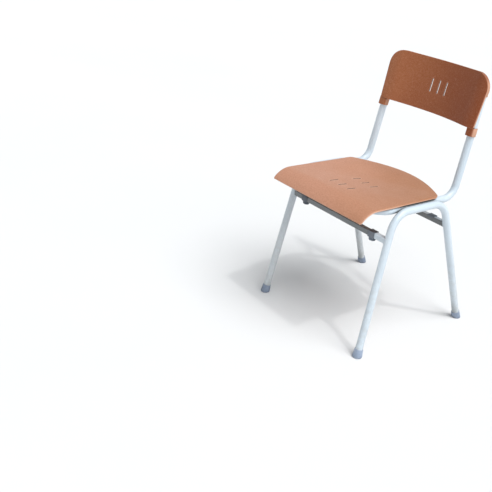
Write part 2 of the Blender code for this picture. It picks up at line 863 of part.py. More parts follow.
def join_upright_sleeves(panel, side, label):
    """Add the bottom collar and the blind top socket, then bore them."""
    low, high = COLLAR_S
    levels = ((low, COLLAR_R - 0.0006), (low + 0.0006, COLLAR_R), (high, COLLAR_R))
    collar = make_collar(f"collar_{label}", side, levels, COLLAR_FRONT_D)
    add_boolean(panel, collar, "UNION")
    low, high = SOCKET_S
    levels = (
        (low, SOCKET_R), (high - 0.0050, SOCKET_R),
        (high - 0.0018, SOCKET_R - 0.0016), (high, SOCKET_R - 0.0048),
    )
    socket = make_collar(f"socket_{label}", side, levels, SOCKET_FRONT_D)
    add_boolean(panel, socket, "UNION")
    top, down = upright_axis(side)
    bore = rod(f"bore_{label}", top - down * GAP, top + down * 0.2, TUBE_R + GAP, "back_plastic", 24)
    add_boolean(panel, bore, "DIFFERENCE")


def rivet_hole(name, side):
    centre = tube_point(side, RIVET_S)
    out = -back_axes()[1]
    start = centre + out * (0.4 * TUBE_R)
    end = centre + out * (COLLAR_R + 0.01)
    return rod(name, start, end, RIVET_R + GAP, "back_plastic", 12)


def make_backrest():
    edge = 0.0012
    loops = [
        outline_loop(back_grid(0.30 * edge, 0.30 * edge)),
        outline_loop(back_grid(0.0, edge)),
        outline_loop(back_grid(0.0, 0.0008, from_flange=True)),
        outline_loop(back_grid(0.0008, 0.0, from_flange=True)),
        outline_loop(back_grid(FLANGE_W - 0.0008, 0.0, from_flange=True)),
    ]
    grids = (back_grid(edge, 0.0), back_grid(FLANGE_W, BACK_T))
    panel = sheet_solid("back_panel", grids, loops, "back_plastic")
    join_upright_sleeves(panel, 1, "left")
    join_upright_sleeves(panel, -1, "right")
    up, forward = back_axes()
    low, high = BACK_SLOT_S
    for column in (-1, 0, 1):
        x = column * BACK_SLOT_PITCH
        centre = back_skin_point(x, 0.5 * (low + high), 0.0)
        cutter = slot_cutter(f"back_slot_{column + 1}", centre, up, forward, high - low, 0.02)
        add_boolean(panel, cutter, "DIFFERENCE")
    return panel


# ------------------------------------------------------------------ build

def build():
    clear_scene()
    root = bpy.data.objects.new("student_desk_chair", None)
    bpy.context.collection.objects.link(root)
    pieces = [make_seat(), make_backrest(), make_hoop()]
    panel = pieces[1]
    hoop = pieces[2]
    pieces.append(make_crossbar("crossbar_front", FRONT_BAR_Y, True))
    pieces.append(make_crossbar("crossbar_rear", REAR_BAR_Y, False))
    for side, label in ((1, "left"), (-1, "right")):
        pieces.append(make_leg_frame(f"leg_frame_{label}", side))
        pieces.append(make_foot_cap(f"foot_cap_front_{label}", side, True))
        pieces.append(make_foot_cap(f"foot_cap_rear_{label}", side, False))
        pieces.append(make_bumper(f"bumper_front_{label}", side, FRONT_BAR_Y, True))
        pieces.append(make_bumper(f"bumper_rear_{label}", side, REAR_BAR_Y, False))
        for place, y in zip(("front", "rear"), TAB_Y):
            pieces.append(make_tab(f"seat_tab_{place}_{label}", side, y))
            pieces.append(make_screw(f"seat_screw_{place}_{label}", side, y))
        hole = rivet_hole(f"rivet_hole_{label}", side)
        add_boolean(panel, hole, "DIFFERENCE")
        add_boolean(hoop, hole, "DIFFERENCE")
        pieces.append(make_rivet(f"back_rivet_{label}", side))
    for piece in pieces:
        parent_to(piece, root)


build()
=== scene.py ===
"""Looks for the student desk chair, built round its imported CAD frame."""
import math

import bmesh
import bpy
from mathutils import Matrix, Vector


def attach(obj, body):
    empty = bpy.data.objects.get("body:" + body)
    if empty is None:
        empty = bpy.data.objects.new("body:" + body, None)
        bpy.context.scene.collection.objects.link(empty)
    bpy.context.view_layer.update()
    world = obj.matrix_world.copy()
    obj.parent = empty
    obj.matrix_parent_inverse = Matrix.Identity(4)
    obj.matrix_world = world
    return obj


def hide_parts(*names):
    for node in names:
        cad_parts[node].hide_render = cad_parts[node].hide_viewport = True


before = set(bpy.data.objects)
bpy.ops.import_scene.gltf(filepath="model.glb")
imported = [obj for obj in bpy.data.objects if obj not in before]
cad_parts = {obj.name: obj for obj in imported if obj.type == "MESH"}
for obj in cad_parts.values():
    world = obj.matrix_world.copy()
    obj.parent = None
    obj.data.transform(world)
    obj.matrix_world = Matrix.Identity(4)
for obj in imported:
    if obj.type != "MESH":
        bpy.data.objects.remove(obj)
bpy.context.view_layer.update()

# Sizes shared with the CAD part, in metres
GAP = 0.0003
TUBE_R = 0.0110
TUBE_WALL = 0.0015
FOOT_X = 0.2170
FRONT_FOOT_Y = -0.2121
REAR_FOOT_Y = 0.2476
TOP_X = 0.1964
FRONT_CORNER = (-0.1385, 0.4345)
REAR_CORNER = (0.0725, 0.4310)
FRONT_LEG_BEND_R = 0.060
REAR_LEG_BEND_R = 0.075
TUBE_END_UP = 0.0100
RAIL_X = 0.1740
RAIL_Z_AT_ZERO = 0.43226
RAIL_SLOPE = -0.020
HOOP_FRONT_Y = -0.1921
RAIL_FLARE_Y = 0.0444
UPRIGHT_FOOT = (0.1765, 0.1339, 0.4300)
UPRIGHT_TOP = (0.16943, 0.18032, 0.7380)
HOOP_FRONT_BEND_R = 0.060
HOOP_REAR_BEND_R = 0.045
BAR_Z = 0.3540
BAR_SIDE = 0.0160
BAR_WALL = 0.0015
BAR_CORNER_R = 0.0020
BAR_HALF_LENGTH = 0.1960
FRONT_BAR_Y = -0.1521
REAR_BAR_Y = 0.1044
SEAT_T = 0.0045
SEAT_HALF_W = 0.1860
SEAT_FRONT_Y = -0.2621
SEAT_CREST_Y = -0.2021
SEAT_LIP_R = 0.0750
SEAT_TOP_Z = 0.4528
SEAT_REAR_Y = 0.1294
SEAT_REAR_BOW = 0.0700
SEAT_REAR_CORNER_R = 0.0140
SEAT_FRONT_CORNER_R = 0.0060
SEAT_EDGE_ROLL = 0.0025
SEAT_EDGE_ROLL_W = 0.0090
SEAT_ROLL_HALF_W = 0.1500
SLOT_W = 0.0038
SEAT_SLOT_L = 0.0350
SEAT_SLOT_PITCH = 0.0362
SEAT_SLOT_ROWS = (-0.1555, -0.0580)
TAB_Y = (-0.1200, 0.0450)
TAB_X = 0.1500
TAB_RISE = 0.0035
BOSS_R = 0.0075
BOSS_HOLE_R = 0.0023
SCREW_LEFT_OVER = 0.0026
BACK_ORIGIN = (0.0, 0.1731, 0.6900)
BACK_LEAN = 0.1506
BACK_HALF_W = 0.1832
BACK_WIDENING = 0.22
BACK_T = 0.0036
BACK_CREST_D = 0.0150
BACK_CREST_X = 0.1700
BACK_HOLLOW = 0.0330
BACK_TILT = 0.030
BACK_BOTTOM_S = -0.0545
BACK_TOP_S = 0.1025
BACK_TOP_CORNER_R = 0.0500
BACK_BOTTOM_CORNER_R = 0.0050
FLANGE_W = 0.0030
FLANGE_MIN = 0.0058
FLANGE_CORNER = 0.0125
BACK_SLOT_S = (0.0040, 0.0440)
BACK_SLOT_PITCH = 0.0270
COLLAR_R = 0.0135
COLLAR_S = (-0.0765, -0.0520)
COLLAR_FRONT_D = 0.0150
SOCKET_R = 0.0129
SOCKET_S = (0.0400, 0.0560)
SOCKET_FRONT_D = 0.0125
RIVET_S = -0.0580
RIVET_R = 0.0021
CAP_H = 0.0260
CAP_TOP_R = 0.0130
CAP_BOTTOM_R = 0.0150
BUMPER_X = 0.1425
BUMPER_W = 0.0235
CLIP_T = 0.0014
PEG_HALF_W = 0.0106
PEG_HALF_D = 0.0094
PEG_DROP = 0.0190
PEG_ROUND = 0.0030

# Cuts and edges of the crossbars and their clips
COPE_BELOW = 0.05
COPE_ABOVE = 0.07
CLIP_LIP_SHARE = 0.55
CLIP_EDGE_R = 0.0006

# How the seat's and the backrest's curves run
SEAT_BOW_HALF_W = 0.180
SEAT_BOW_POWER = 1.9
SEAT_BOW_LIMIT = 1.05
SEAT_CROWN = (
    (SEAT_FRONT_Y, 0.0),
    (SEAT_CREST_Y, 0.0035),
    (0.0080, -0.0122),
    (SEAT_REAR_Y, 0.0010),
)
SEAT_EDGE_R = 0.0014
BOSS_BORE_RUN_IN = 0.01
SEAT_LIP_PART = 0.18
SEAT_PAN_PART = 0.78
SEAT_REAR_ROWS = (0.97, 0.98, 0.99, 1.0)
BACK_BEND_X = 0.135
BACK_EDGE_CURVE = 8.0
BACK_EDGE_R = 0.0012
FLANGE_EDGE_R = 0.0008
FLANGE_START_S = 0.036
FLANGE_RISE_S = 0.018
FLANGE_START_X = 0.090
FLANGE_RISE_X = 0.060
COLLAR_CORNER_SHARE = 0.45
BACK_BORE_L = 0.2
RIVET_HOLE_REACH = 0.03
COLLAR_EDGE_R = 0.0008
COLLAR_EDGE_MIDDLE = 0.0003
SOCKET_EDGE_R = 0.0006
SOCKET_DOME_H = 0.0050
SOCKET_DOME_INSET = 0.0048
SLOT_CUT_DEPTH = 0.02
LEAST_CORNER_R = 0.001
SEAT_LIP_LIMIT = 0.97

# Weld beads, which only the looks have
BEAD_R = 0.0011
BEAD_SINK = 0.0004
BEAD_RIPPLE = 0.30
BEAD_PITCH = 0.0022
BEAD_SIDES = 12
BEAD_TIP = 0.35
BEAD_TIP_SWELL = 3.0
RAIL_WELDS_Y = (-0.0900, 0.0150)
RAIL_WELD_L = 0.0320
RAIL_WELD_DROP = 0.0050
RAIL_BEAD_R = 0.0026

# The floor is flat out to the cove, which curves up to a wall
FLOOR_RINGS = (0.0, 2.0, 6.0)
COVE_START = 13.0
COVE_R = 5.5
COVE_STEPS = 16
FLOOR_SIDES = 96

# Mesh fineness
SIDES = 44
HOLE_SIDES = 20
RIVET_HOLE_SIDES = 16
BEND_STEPS = 18
RUN_STEP = 0.020

# Linear colours
PAINT_TONES = ((0.545, 0.625, 0.690), (0.605, 0.680, 0.738))
PAINT_FAR_SHADE = (0.47, 0.46, 0.44)
PAINT_GRIME = (0.36, 0.34, 0.31)
PAINT_SCUFF = (0.42, 0.44, 0.46)
PAINT_SHADE = (0.07, 0.07, 0.065)
SEAT_TONE_AND_SHEEN = ((0.395, 0.171, 0.083), (0.495, 0.240, 0.153))
SEAT_RIM_AND_HIGHLIGHT = (0.72, 0.47, 0.35)
BACK_TONE_AND_LIGHT = ((0.258, 0.066, 0.020), (0.350, 0.122, 0.050))
BACK_RIM_AND_HIGHLIGHT = (0.66, 0.38, 0.26)
FOOT_TONES = ((0.235, 0.290, 0.390), (0.325, 0.388, 0.500))
FOOT_SCUFF = (0.10, 0.10, 0.11)
FOOT_EDGE = (0.42, 0.47, 0.58)
FOOT_FAR_SHADE = (0.10, 0.12, 0.16)
BUMPER_TONES = ((0.105, 0.135, 0.175), (0.150, 0.185, 0.230))
BUMPER_EDGE = (0.24, 0.26, 0.29)
BUMPER_FAR_SHADE = (0.030, 0.035, 0.040)
BUMPER_SHADE = (0.03, 0.03, 0.03)
ZINC_TONES = ((0.48, 0.49, 0.51), (0.66, 0.67, 0.68))
FLOOR_TONES = ((0.745, 0.745, 0.745), (0.765, 0.765, 0.765))
SKY = (0.88, 0.95, 1.0, 1.0)

# How each plastic's painted sheen and light drift, lighter towards the sitter's right and the
# front: the pull of the rearward direction, its start, its end
SEAT_LIGHT_DRIFT = (0.8, 0.19, -0.22)
BACK_LIGHT_DRIFT = (0.0, 0.12, -0.17)

# Where the brightest part of the sky lies, and the lights: place, strength, spread
SKY_BRIGHT_SIDE = (0.72, 0.32, 0.62)
SKY_RANGE = (-0.5, 0.9)
SKY_STRENGTH = (0.10, 0.62)
SUNS = {
    "soft_key": ((1.4, 0.0, 2.6), 2.5, 48.0),
    "crisp_key": ((1.10, 0.05, 2.6), 0.5, 3.0),
    "side_fill": ((2.6, -0.2, 0.9), 0.60, 45.0),
}

# A view from the sitter's front left; angles in degrees, lens in millimetres
CAMERA_PLACE = (1.37886, -1.64141, 1.20673)
CAMERA_AZIMUTH = 50.25
CAMERA_ELEVATION = 26.09
CAMERA_ROLL = 5.85
CAMERA_LENS = 53.82
CAMERA_SENSOR = 36.0
CAMERA_CLIP_START = 0.05


# ------------------------------------------------------------------ meshes

def new_object(name, points, faces, sharp_angle=35.0):
    mesh = bpy.data.meshes.new(name)
    mesh.from_pydata([tuple(p) for p in points], [], faces)
    work = bmesh.new()
    work.from_mesh(mesh)
    bmesh.ops.recalc_face_normals(work, faces=work.faces[:])
    if work.calc_volume(signed=True) < 0.0:
        bmesh.ops.reverse_faces(work, faces=work.faces[:])
    work.to_mesh(mesh)
    work.free()
    shade(mesh, sharp_angle)
    item = bpy.data.objects.new(name, mesh)
    bpy.context.scene.collection.objects.link(item)
    return item


def shade(mesh, sharp_angle):
    """Smooth shading, broken where faces meet more steeply than sharp_angle."""
    mesh.shade_smooth()
    mesh.set_sharp_from_angle(angle=math.radians(sharp_angle))


def bridge(rings, closed):
    """Quads between rings of equal length, lidded unless they form a loop."""
    count = len(rings[0])
    points = [p for ring in rings for p in ring]
    faces = []
    last = len(rings) if closed else len(rings) - 1
    for r in range(last):
        low = r * count
        high = ((r + 1) % len(rings)) * count
        for i in range(count):
            j = (i + 1) % count
            faces.append((low + i, low + j, high + j, high + i))
    if not closed:
        faces.append(tuple(range(count)))
        faces.append(tuple(range(len(points) - count, len(points))))
    return points, faces


def circle(centre, direction, radius, sides=SIDES, hint=Vector((1, 0, 0))):
    a = hint - direction * hint.dot(direction)
    if a.length < 1e-6:
        a = direction.orthogonal()
    a.normalize()
    b = direction.cross(a)
    return [centre + radius * (math.cos(t) * a + math.sin(t) * b) for t in turns(sides)]


def rod(name, start, end, radius, sides=SIDES):
    start = Vector(start)
    end = Vector(end)
    direction = (end - start).normalized()
    rings = [circle(p, direction, radius, sides) for p in (start, end)]
    return new_object(name, *bridge(rings, closed=False))


def rounded_path(corners, radii):
    """A polyline whose inner corners become arcs; radius 0 keeps a corner."""
    corners = [Vector(c) for c in corners]
    path = [corners[0]]
    for before, corner, after, radius in zip(corners, corners[1:], corners[2:], radii):
        if radius == 0.0:
            path.append(corner)
            continue
        back = (before - corner).normalized()
        ahead = (after - corner).normalized()
        half = 0.5 * back.angle(ahead)
        start = corner + back * (radius / math.tan(half))
        centre = corner + (back + ahead).normalized() * (radius / math.sin(half))
        sweep = math.pi - 2.0 * half
        arm = start - centre
        axis = back.cross(ahead).normalized()
        for i in range(BEND_STEPS + 1):
            turn = Matrix.Rotation(-sweep * i / BEND_STEPS, 3, axis)
            path.append(centre + turn @ arm)
    path.append(corners[-1])
    return path


def with_runs_split(path):
    """Add points along the straight runs."""
    made = [path[0]]
    for a, b in zip(path, path[1:]):
        parts = max(1, round((b - a).length / RUN_STEP))
        made += [a.lerp(b, i / parts) for i in range(1, parts + 1)]
    return made


def bent_tube(name, path):
    path = with_runs_split(path)
    outer = []
    inner = []
    a = Vector((0, 0, 1))
    for i, centre in enumerate(path):
        ahead = path[min(i + 1, len(path) - 1)] - path[min(i, len(path) - 2)]
        behind = path[max(i, 1)] - path[max(i - 1, 0)]
        direction = (ahead.normalized() + behind.normalized()).normalized()
        if i == 0 and abs(a.dot(direction)) > 0.99:
            a = Vector((1, 0, 0))
        a = (a - direction * a.dot(direction)).normalized()
        outer.append(circle(centre, direction, TUBE_R, SIDES, a))
        inner.append(circle(centre, direction, TUBE_R - TUBE_WALL, SIDES, a))
    return new_object(name, *bridge(outer + inner[::-1], closed=True))


def bake_modifiers(item):
    """Turn the object's modifiers into its mesh."""
    bpy.context.view_layer.update()
    evaluated = item.evaluated_get(bpy.context.evaluated_depsgraph_get())
    made = bpy.data.meshes.new_from_object(evaluated)
    item.modifiers.clear()
    old = item.data
    item.data = made
    bpy.data.meshes.remove(old)


def boolean(item, cutter, operation):
    """Join on, or cut away, another object and remove that object."""
    step = item.modifiers.new("cut", "BOOLEAN")
    step.operation = operation
    step.solver = "EXACT"
    step.object = cutter
    bake_modifiers(item)
    old = cutter.data
    bpy.data.objects.remove(cutter)
    bpy.data.meshes.remove(old)


def turns(count):
    """Evenly spaced angles round a full circle."""
    return [2.0 * math.pi * i / count for i in range(count)]


def quarter_turn(steps):
    """Angles from 0 to a right angle, both included."""
    return [0.5 * math.pi * i / steps for i in range(steps + 1)]


def smooth_step(t):
    t = min(max(t, 0.0), 1.0)
    return t * t * (3.0 - 2.0 * t)


# ------------------------------------------------------------ steel frame

def rail_z(y):
    return RAIL_Z_AT_ZERO + RAIL_SLOPE * y


def leg_axis(side, is_front):
    y = FRONT_FOOT_Y if is_front else REAR_FOOT_Y
    top_y, top_z = FRONT_CORNER if is_front else REAR_CORNER
    foot = Vector((side * FOOT_X, y, 0.0))
    return foot, (Vector((side * TOP_X, top_y, top_z)) - foot).normalized()


def make_leg_frame(name, side):
    front_foot, front_up = leg_axis(side, True)
    rear_foot, rear_up = leg_axis(side, False)
    corners = [
        front_foot + front_up * TUBE_END_UP,
        (side * TOP_X, *FRONT_CORNER),
        (side * TOP_X, *REAR_CORNER),
        rear_foot + rear_up * TUBE_END_UP,
    ]
    return bent_tube(name, rounded_path(corners, (FRONT_LEG_BEND_R, REAR_LEG_BEND_R)))


def upright_axis(side):
    top = Vector(UPRIGHT_TOP)
    foot = Vector(UPRIGHT_FOOT)
    top.x *= side
    foot.x *= side
    return top, (foot - top).normalized()


def make_hoop(name):
    foot_x, foot_y, _ = UPRIGHT_FOOT
    half = [
        upright_axis(1)[0],
        Vector((foot_x, foot_y, rail_z(foot_y))),
        Vector((RAIL_X, RAIL_FLARE_Y, rail_z(RAIL_FLARE_Y))),
        Vector((RAIL_X, HOOP_FRONT_Y, rail_z(HOOP_FRONT_Y))),
    ]
    other = [Vector((-p.x, p.y, p.z)) for p in half[::-1]]
    radii = [HOOP_REAR_BEND_R, 0.0, HOOP_FRONT_BEND_R]
    return bent_tube(name, rounded_path(half + other, radii + radii[::-1]))


def bead(name, path, radius, closed):
    """A weld bead: a thin tube along a path, rippled like laid-on drops."""
    rings = []
    count = len(path)
    travelled = 0.0
    for i, centre in enumerate(path):
        after = path[(i + 1) % count] if closed else path[min(i + 1, count - 1)]
        before = path[i - 1] if closed or i else path[0]
        ripple = 1.0 + BEAD_RIPPLE * abs(math.sin(math.pi * travelled / BEAD_PITCH))
        end = 1.0
        if not closed:
            end = min(1.0, BEAD_TIP + BEAD_TIP_SWELL * math.sin(math.pi * i / (count - 1)))
        direction = (after - before).normalized()
        rings.append(circle(centre, direction, radius * ripple * end, BEAD_SIDES))
        travelled += (after - centre).length
    return new_object(name, *bridge(rings, closed), sharp_angle=80.0)


def bar_weld(name, side, y, is_front):
    """The bead round the end of a crossbar, following the leg's curve."""
    foot, up = leg_axis(side, is_front)
    half = 0.5 * BAR_SIDE
    steps = 30
    path = []
    for quarter in range(4):
        for i in range(steps):
            a = half * (1.0 - 2.0 * i / steps)
            dy, dz = ((a, half), (-half, a), (-a, -half), (half, -a))[quarter]
            centre = foot + up * ((BAR_Z + dz) / up.z)
            across = y + dy - centre.y
            reach = math.sqrt(max(TUBE_R ** 2 - across * across, 0.0)) + BEAD_SINK
            path.append(Vector((centre.x - side * reach, y + dy, BAR_Z + dz)))
    return bead(name, path, BEAD_R, closed=True)


def rail_weld(name, side, y):
    """A short bead below the touching rails of the hoop and the leg frame."""
    steps = 60
    x = side * 0.5 * (RAIL_X + TOP_X)
    path = []
    for i in range(steps + 1):
        along = y + RAIL_WELD_L * (i / steps - 0.5)
        path.append(Vector((x, along, rail_z(along) - RAIL_WELD_DROP)))
    return bead(name, path, RAIL_BEAD_R, closed=False)


def rounded_square(half, corner):
    steps = 6
    points = []
    for quarter in range(4):
        middle = math.pi * (0.25 + 0.5 * quarter)
        ca = math.copysign(half - corner, math.cos(middle))
        cb = math.copysign(half - corner, math.sin(middle))
        for i in range(steps + 1):
            angle = 0.5 * math.pi * (quarter + i / steps)
            points.append((ca + corner * math.cos(angle), cb + corner * math.sin(angle)))
    return points


def make_crossbar(name, y, is_front):
    """A square tube whose ends are coped to fit against the legs."""
    outer = rounded_square(0.5 * BAR_SIDE, BAR_CORNER_R)
    inner = rounded_square(0.5 * BAR_SIDE - BAR_WALL, BAR_CORNER_R - 0.5 * BAR_WALL)
    rings = []
    for sign, outline in ((-1, outer), (1, outer), (1, inner), (-1, inner)):
        rings.append([Vector((sign * BAR_HALF_LENGTH, y + a, BAR_Z + b)) for a, b in outline])
    bar = new_object(name, *bridge(rings, closed=True), sharp_angle=40.0)
    for side in (1, -1):
        foot, up = leg_axis(side, is_front)
        low = foot + up * (BAR_Z - COPE_BELOW)
        high = foot + up * (BAR_Z + COPE_ABOVE)
        boolean(bar, rod("cope", low, high, TUBE_R + GAP), "DIFFERENCE")
    shade(bar.data, 40.0)
    return bar


# ------------------------------------------------------------ small pieces

def make_foot_cap(name, side, is_front):
    """A pushed-on cap: a rolled top lip, a gentle flare and a worn sole."""
    foot, up = leg_axis(side, is_front)
    straight_up = Vector((0, 0, 1))
    profile = [
        (0.0000, CAP_BOTTOM_R - 0.0030, 0.0),
        (0.0003, CAP_BOTTOM_R - 0.0018, 0.0),
        (0.0010, CAP_BOTTOM_R - 0.0008, 0.0),
        (0.0020, CAP_BOTTOM_R - 0.0002, 0.0),
        (0.0032, CAP_BOTTOM_R, 0.0),
        (0.0060, CAP_BOTTOM_R - 0.0003, 0.15),
        (0.0120, 0.5 * (CAP_BOTTOM_R + CAP_TOP_R), 0.5),
        (0.0190, CAP_TOP_R + 0.0003, 0.85),
        (CAP_H - 0.0030, CAP_TOP_R, 1.0),
        (CAP_H - 0.0014, CAP_TOP_R - 0.0001, 1.0),
        (CAP_H - 0.0005, CAP_TOP_R - 0.0005, 1.0),
        (CAP_H, CAP_TOP_R - 0.0011, 1.0),
        (CAP_H, TUBE_R + GAP, 1.0),
        (TUBE_END_UP - GAP, TUBE_R + GAP, 1.0),
    ]
    rings = []
    for distance, radius, tilt in profile:
        normal = straight_up.lerp(up, tilt).normalized()
        centre = foot + up * (distance / up.z if tilt == 0.0 else distance)
        rings.append(circle(centre, normal, radius))
    return new_object(name, *bridge(rings, closed=False), sharp_angle=50.0)


def round_edges(item, width, segments):
    step = item.modifiers.new("edge_round", "BEVEL")
    step.width = width
    step.segments = segments
    step.limit_method = "ANGLE"
    step.angle_limit = math.radians(40.0)
    bake_modifiers(item)


def make_bumper(name, side, y, is_front):
    """A sprung clip round the crossbar, with an oval peg under the front ones."""
    inner = 0.5 * BAR_SIDE + GAP
    outer = inner + CLIP_T
    lip = CLIP_LIP_SHARE * inner
    if is_front:
        outline = [
            (outer, outer), (-outer, outer), (-outer, -outer), (outer, -outer),
            (outer, -lip), (inner, -lip), (inner, -inner), (-inner, -inner),
            (-inner, inner), (inner, inner), (inner, lip), (outer, lip),
        ]
    else:
        outline = [
            (outer, outer), (-outer, outer), (-outer, lip), (-inner, lip),
            (-inner, inner), (inner, inner), (inner, lip), (outer, lip),
        ]
    centre = side * BUMPER_X
    rings = []
    for x in (centre - 0.5 * BUMPER_W, centre + 0.5 * BUMPER_W):
        rings.append([Vector((x, y + a, BAR_Z + b)) for a, b in outline])
    bumper = new_object(name, *bridge(rings, closed=False))
    round_edges(bumper, CLIP_EDGE_R, 3)
    if is_front:
        boolean(bumper, make_peg(centre, y), "UNION")
    shade(bumper.data, 38.0)
    return bumper


def make_peg(x, y):
    """An oval peg with a rounded lower end."""
    top = BAR_Z - 0.5 * BAR_SIDE - GAP - 0.5 * CLIP_T
    bottom = BAR_Z - PEG_DROP
    levels = [(top, 0.0), (bottom + PEG_ROUND, 0.0)]
    for angle in quarter_turn(8)[1:]:
        inset = PEG_ROUND * (1.0 - math.cos(angle))
        levels.append((bottom + PEG_ROUND * (1.0 - math.sin(angle)), inset))
    rings = []
    for z, inset in levels:
        ring = []
        for angle in turns(SIDES):
            dx = (PEG_HALF_W - inset) * math.cos(angle)
            dy = (PEG_HALF_D - inset) * math.sin(angle)
            ring.append(Vector((x + dx, y + dy, z)))
        rings.append(ring)
    return new_object("peg", *bridge(rings, closed=False))


# ----------------------------------------------------------- moulded sheets

def edge_columns(half_width, corner, middle_steps, corner_steps):
    """A sheet's columns, even in the middle and bunched towards its round corners."""
    columns = []
    for i in range(corner_steps):
        angle = 0.5 * math.pi * (1.0 - i / corner_steps)
        columns.append((-1.0, math.sin(angle)))
    for i in range(middle_steps + 1):
        columns.append((-1.0 + 2.0 * i / middle_steps, 0.0))
    for angle in quarter_turn(corner_steps)[1:]:
        columns.append((1.0, math.sin(angle)))
    flat = half_width - corner
    return [(share, flat, math.copysign(sine, share)) for share, sine in columns]


def column_x(column, corner):
    share, flat, sine = column
    return share * flat + sine * corner


def corner_drop(x, half_width, corner):
    """How far a round corner pulls the outline in at x."""
    over = abs(x) - (half_width - corner)
    if over <= 0.0 or corner <= 0.0:
        return 0.0
    return corner - math.sqrt(max(corner * corner - over * over, 0.0))


def outline_loop(grid):
    """The outer points of a grid, in order round it."""
    loop = list(grid[0])
    loop += [row[-1] for row in grid[1:]]
    loop += list(reversed(grid[-1]))[1:]
    loop += [row[0] for row in reversed(grid[1:-1])]
    return loop


def sheet_solid(name, grids, loops):
    """A closed sheet: two skins, joined at their rims through the loops between."""
    rows = len(grids[0])
    cols = len(grids[0][0])
    points = []
    faces = []
    rims = []
    for grid in grids:
        base = len(points)
        points += [p for row in grid for p in row]
        index = [[base + r * cols + c for c in range(cols)] for r in range(rows)]
        for near, lit_tone in zip(index, index[1:]):
            for c in range(cols - 1):
                faces.append((near[c], near[c + 1], lit_tone[c + 1], lit_tone[c]))
        rims.append(outline_loop(index))
    chain = [rims[0]]
    for loop in loops:
        base = len(points)
        points += loop
        chain.append(list(range(base, base + len(loop))))
    chain.append(rims[1])
    for near, lit_tone in zip(chain, chain[1:]):
        for i in range(len(near)):
            j = (i + 1) % len(near)
            faces.append((near[i], near[j], lit_tone[j], lit_tone[i]))
    return new_object(name, points, faces, sharp_angle=45.0)


def slot_cutter(centre, along, through, length):
    """A round-ended bar that cuts one slot."""
    across = along.cross(through).normalized()
    half = 0.5 * (length - SLOT_W)
    outline = []
    for end in (1, -1):
        for i in range(13):
            angle = math.pi * (i / 12 - 0.5)
            a = end * (half + 0.5 * SLOT_W * math.cos(angle))
            outline.append((a, end * 0.5 * SLOT_W * math.sin(angle)))
    rings = []
    for level in (-SLOT_CUT_DEPTH, SLOT_CUT_DEPTH):
        base = centre + through * level
        rings.append([base + along * a + across * b for a, b in outline])
    return new_object("slot", *bridge(rings, closed=False))


def set_surface_normals(item, locate, tolerance=0.0004, least_agreement=0.9):
    """Shade each skin by the smooth surface it lies on, right up to the cuts.

    locate gives, for a point, the nearest skin's distance and its normal.
    """
    mesh = item.data
    shade(mesh, 45.0)
    normals = [Vector(n.vector) for n in mesh.corner_normals]
    known = {}
    for face in mesh.polygons:
        found = []
        for corner in face.loop_indices:
            index = mesh.loops[corner].vertex_index
            if index not in known:
                known[index] = locate(mesh.vertices[index].co)
            found.append(known[index])
        if any(abs(distance) > tolerance for distance, _ in found):
            continue
        agreement = face.normal.dot(found[0][1])
        if abs(agreement) < least_agreement:
            continue
        sign = math.copysign(1.0, agreement)
        for corner, (_, normal) in zip(face.loop_indices, found):
            normals[corner] = normal * sign
    mesh.normals_split_custom_set([tuple(n) for n in normals])


# --------------------------------------------------------------------- seat

def seat_rear_y(x, inset=0.0):
    share = min(abs(x) / SEAT_BOW_HALF_W, SEAT_BOW_LIMIT)
    corner = max(SEAT_REAR_CORNER_R - inset, LEAST_CORNER_R)
    drop = corner_drop(x, SEAT_HALF_W - inset, corner)
    return SEAT_REAR_Y - inset - SEAT_REAR_BOW * share ** SEAT_BOW_POWER - drop


def seat_front_y(x, inset=0.0):
    corner = max(SEAT_FRONT_CORNER_R - inset, LEAST_CORNER_R)
    return SEAT_FRONT_Y + inset + corner_drop(x, SEAT_HALF_W - inset, corner)


def seat_side_profile(y):
    """Height of the seat's side edge: a level run, then the lip's arc."""
    run = y - SEAT_CREST_Y
    if run >= 0.0:
        return SEAT_TOP_Z + RAIL_SLOPE * run
    run = max(run, -SEAT_LIP_LIMIT * SEAT_LIP_R)
    return SEAT_TOP_Z - SEAT_LIP_R + math.sqrt(SEAT_LIP_R ** 2 - run * run)


def seat_crown(y):
    """How much the middle line stands above the side edges, or below them."""
    if y <= SEAT_CROWN[0][0]:
        return SEAT_CROWN[0][1]
    for (y0, h0), (y1, h1) in zip(SEAT_CROWN, SEAT_CROWN[1:]):
        if y <= y1:
            return h0 + (h1 - h0) * smooth_step((y - y0) / (y1 - y0))
    return SEAT_CROWN[-1][1]


def seat_z(x, y):
    spread = max(1.0 - (x / SEAT_HALF_W) ** 2, 0.0) ** 2
    height = seat_side_profile(y) + seat_crown(y) * spread
    side = max(1.0 - max(SEAT_HALF_W - abs(x), 0.0) / SEAT_EDGE_ROLL_W, 0.0)
    rear = max(1.0 - max(seat_rear_y(x) - y, 0.0) / SEAT_EDGE_ROLL_W, 0.0)
    rear *= max(1.0 - (x / SEAT_ROLL_HALF_W) ** 2, 0.0)
    return height - SEAT_EDGE_ROLL * (side * side + rear * rear)


def seat_normal(x, y):
    step = 0.0010
    slope_x = (seat_z(x + step, y) - seat_z(x - step, y)) / (2.0 * step)
    slope_y = (seat_z(x, y + step) - seat_z(x, y - step)) / (2.0 * step)
    return Vector((-slope_x, -slope_y, 1.0)).normalized()


def seat_point(x, y, depth):
    return Vector((x, y, seat_z(x, y))) - seat_normal(x, y) * depth


def seat_rows():
    """Each row's share of the way back, closer together at the lip and the rear."""
    lip = [SEAT_LIP_PART * i / 22 for i in range(22)]
    pan = [SEAT_LIP_PART + SEAT_PAN_PART * i / 44 for i in range(45)]
    return lip + pan + list(SEAT_REAR_ROWS)


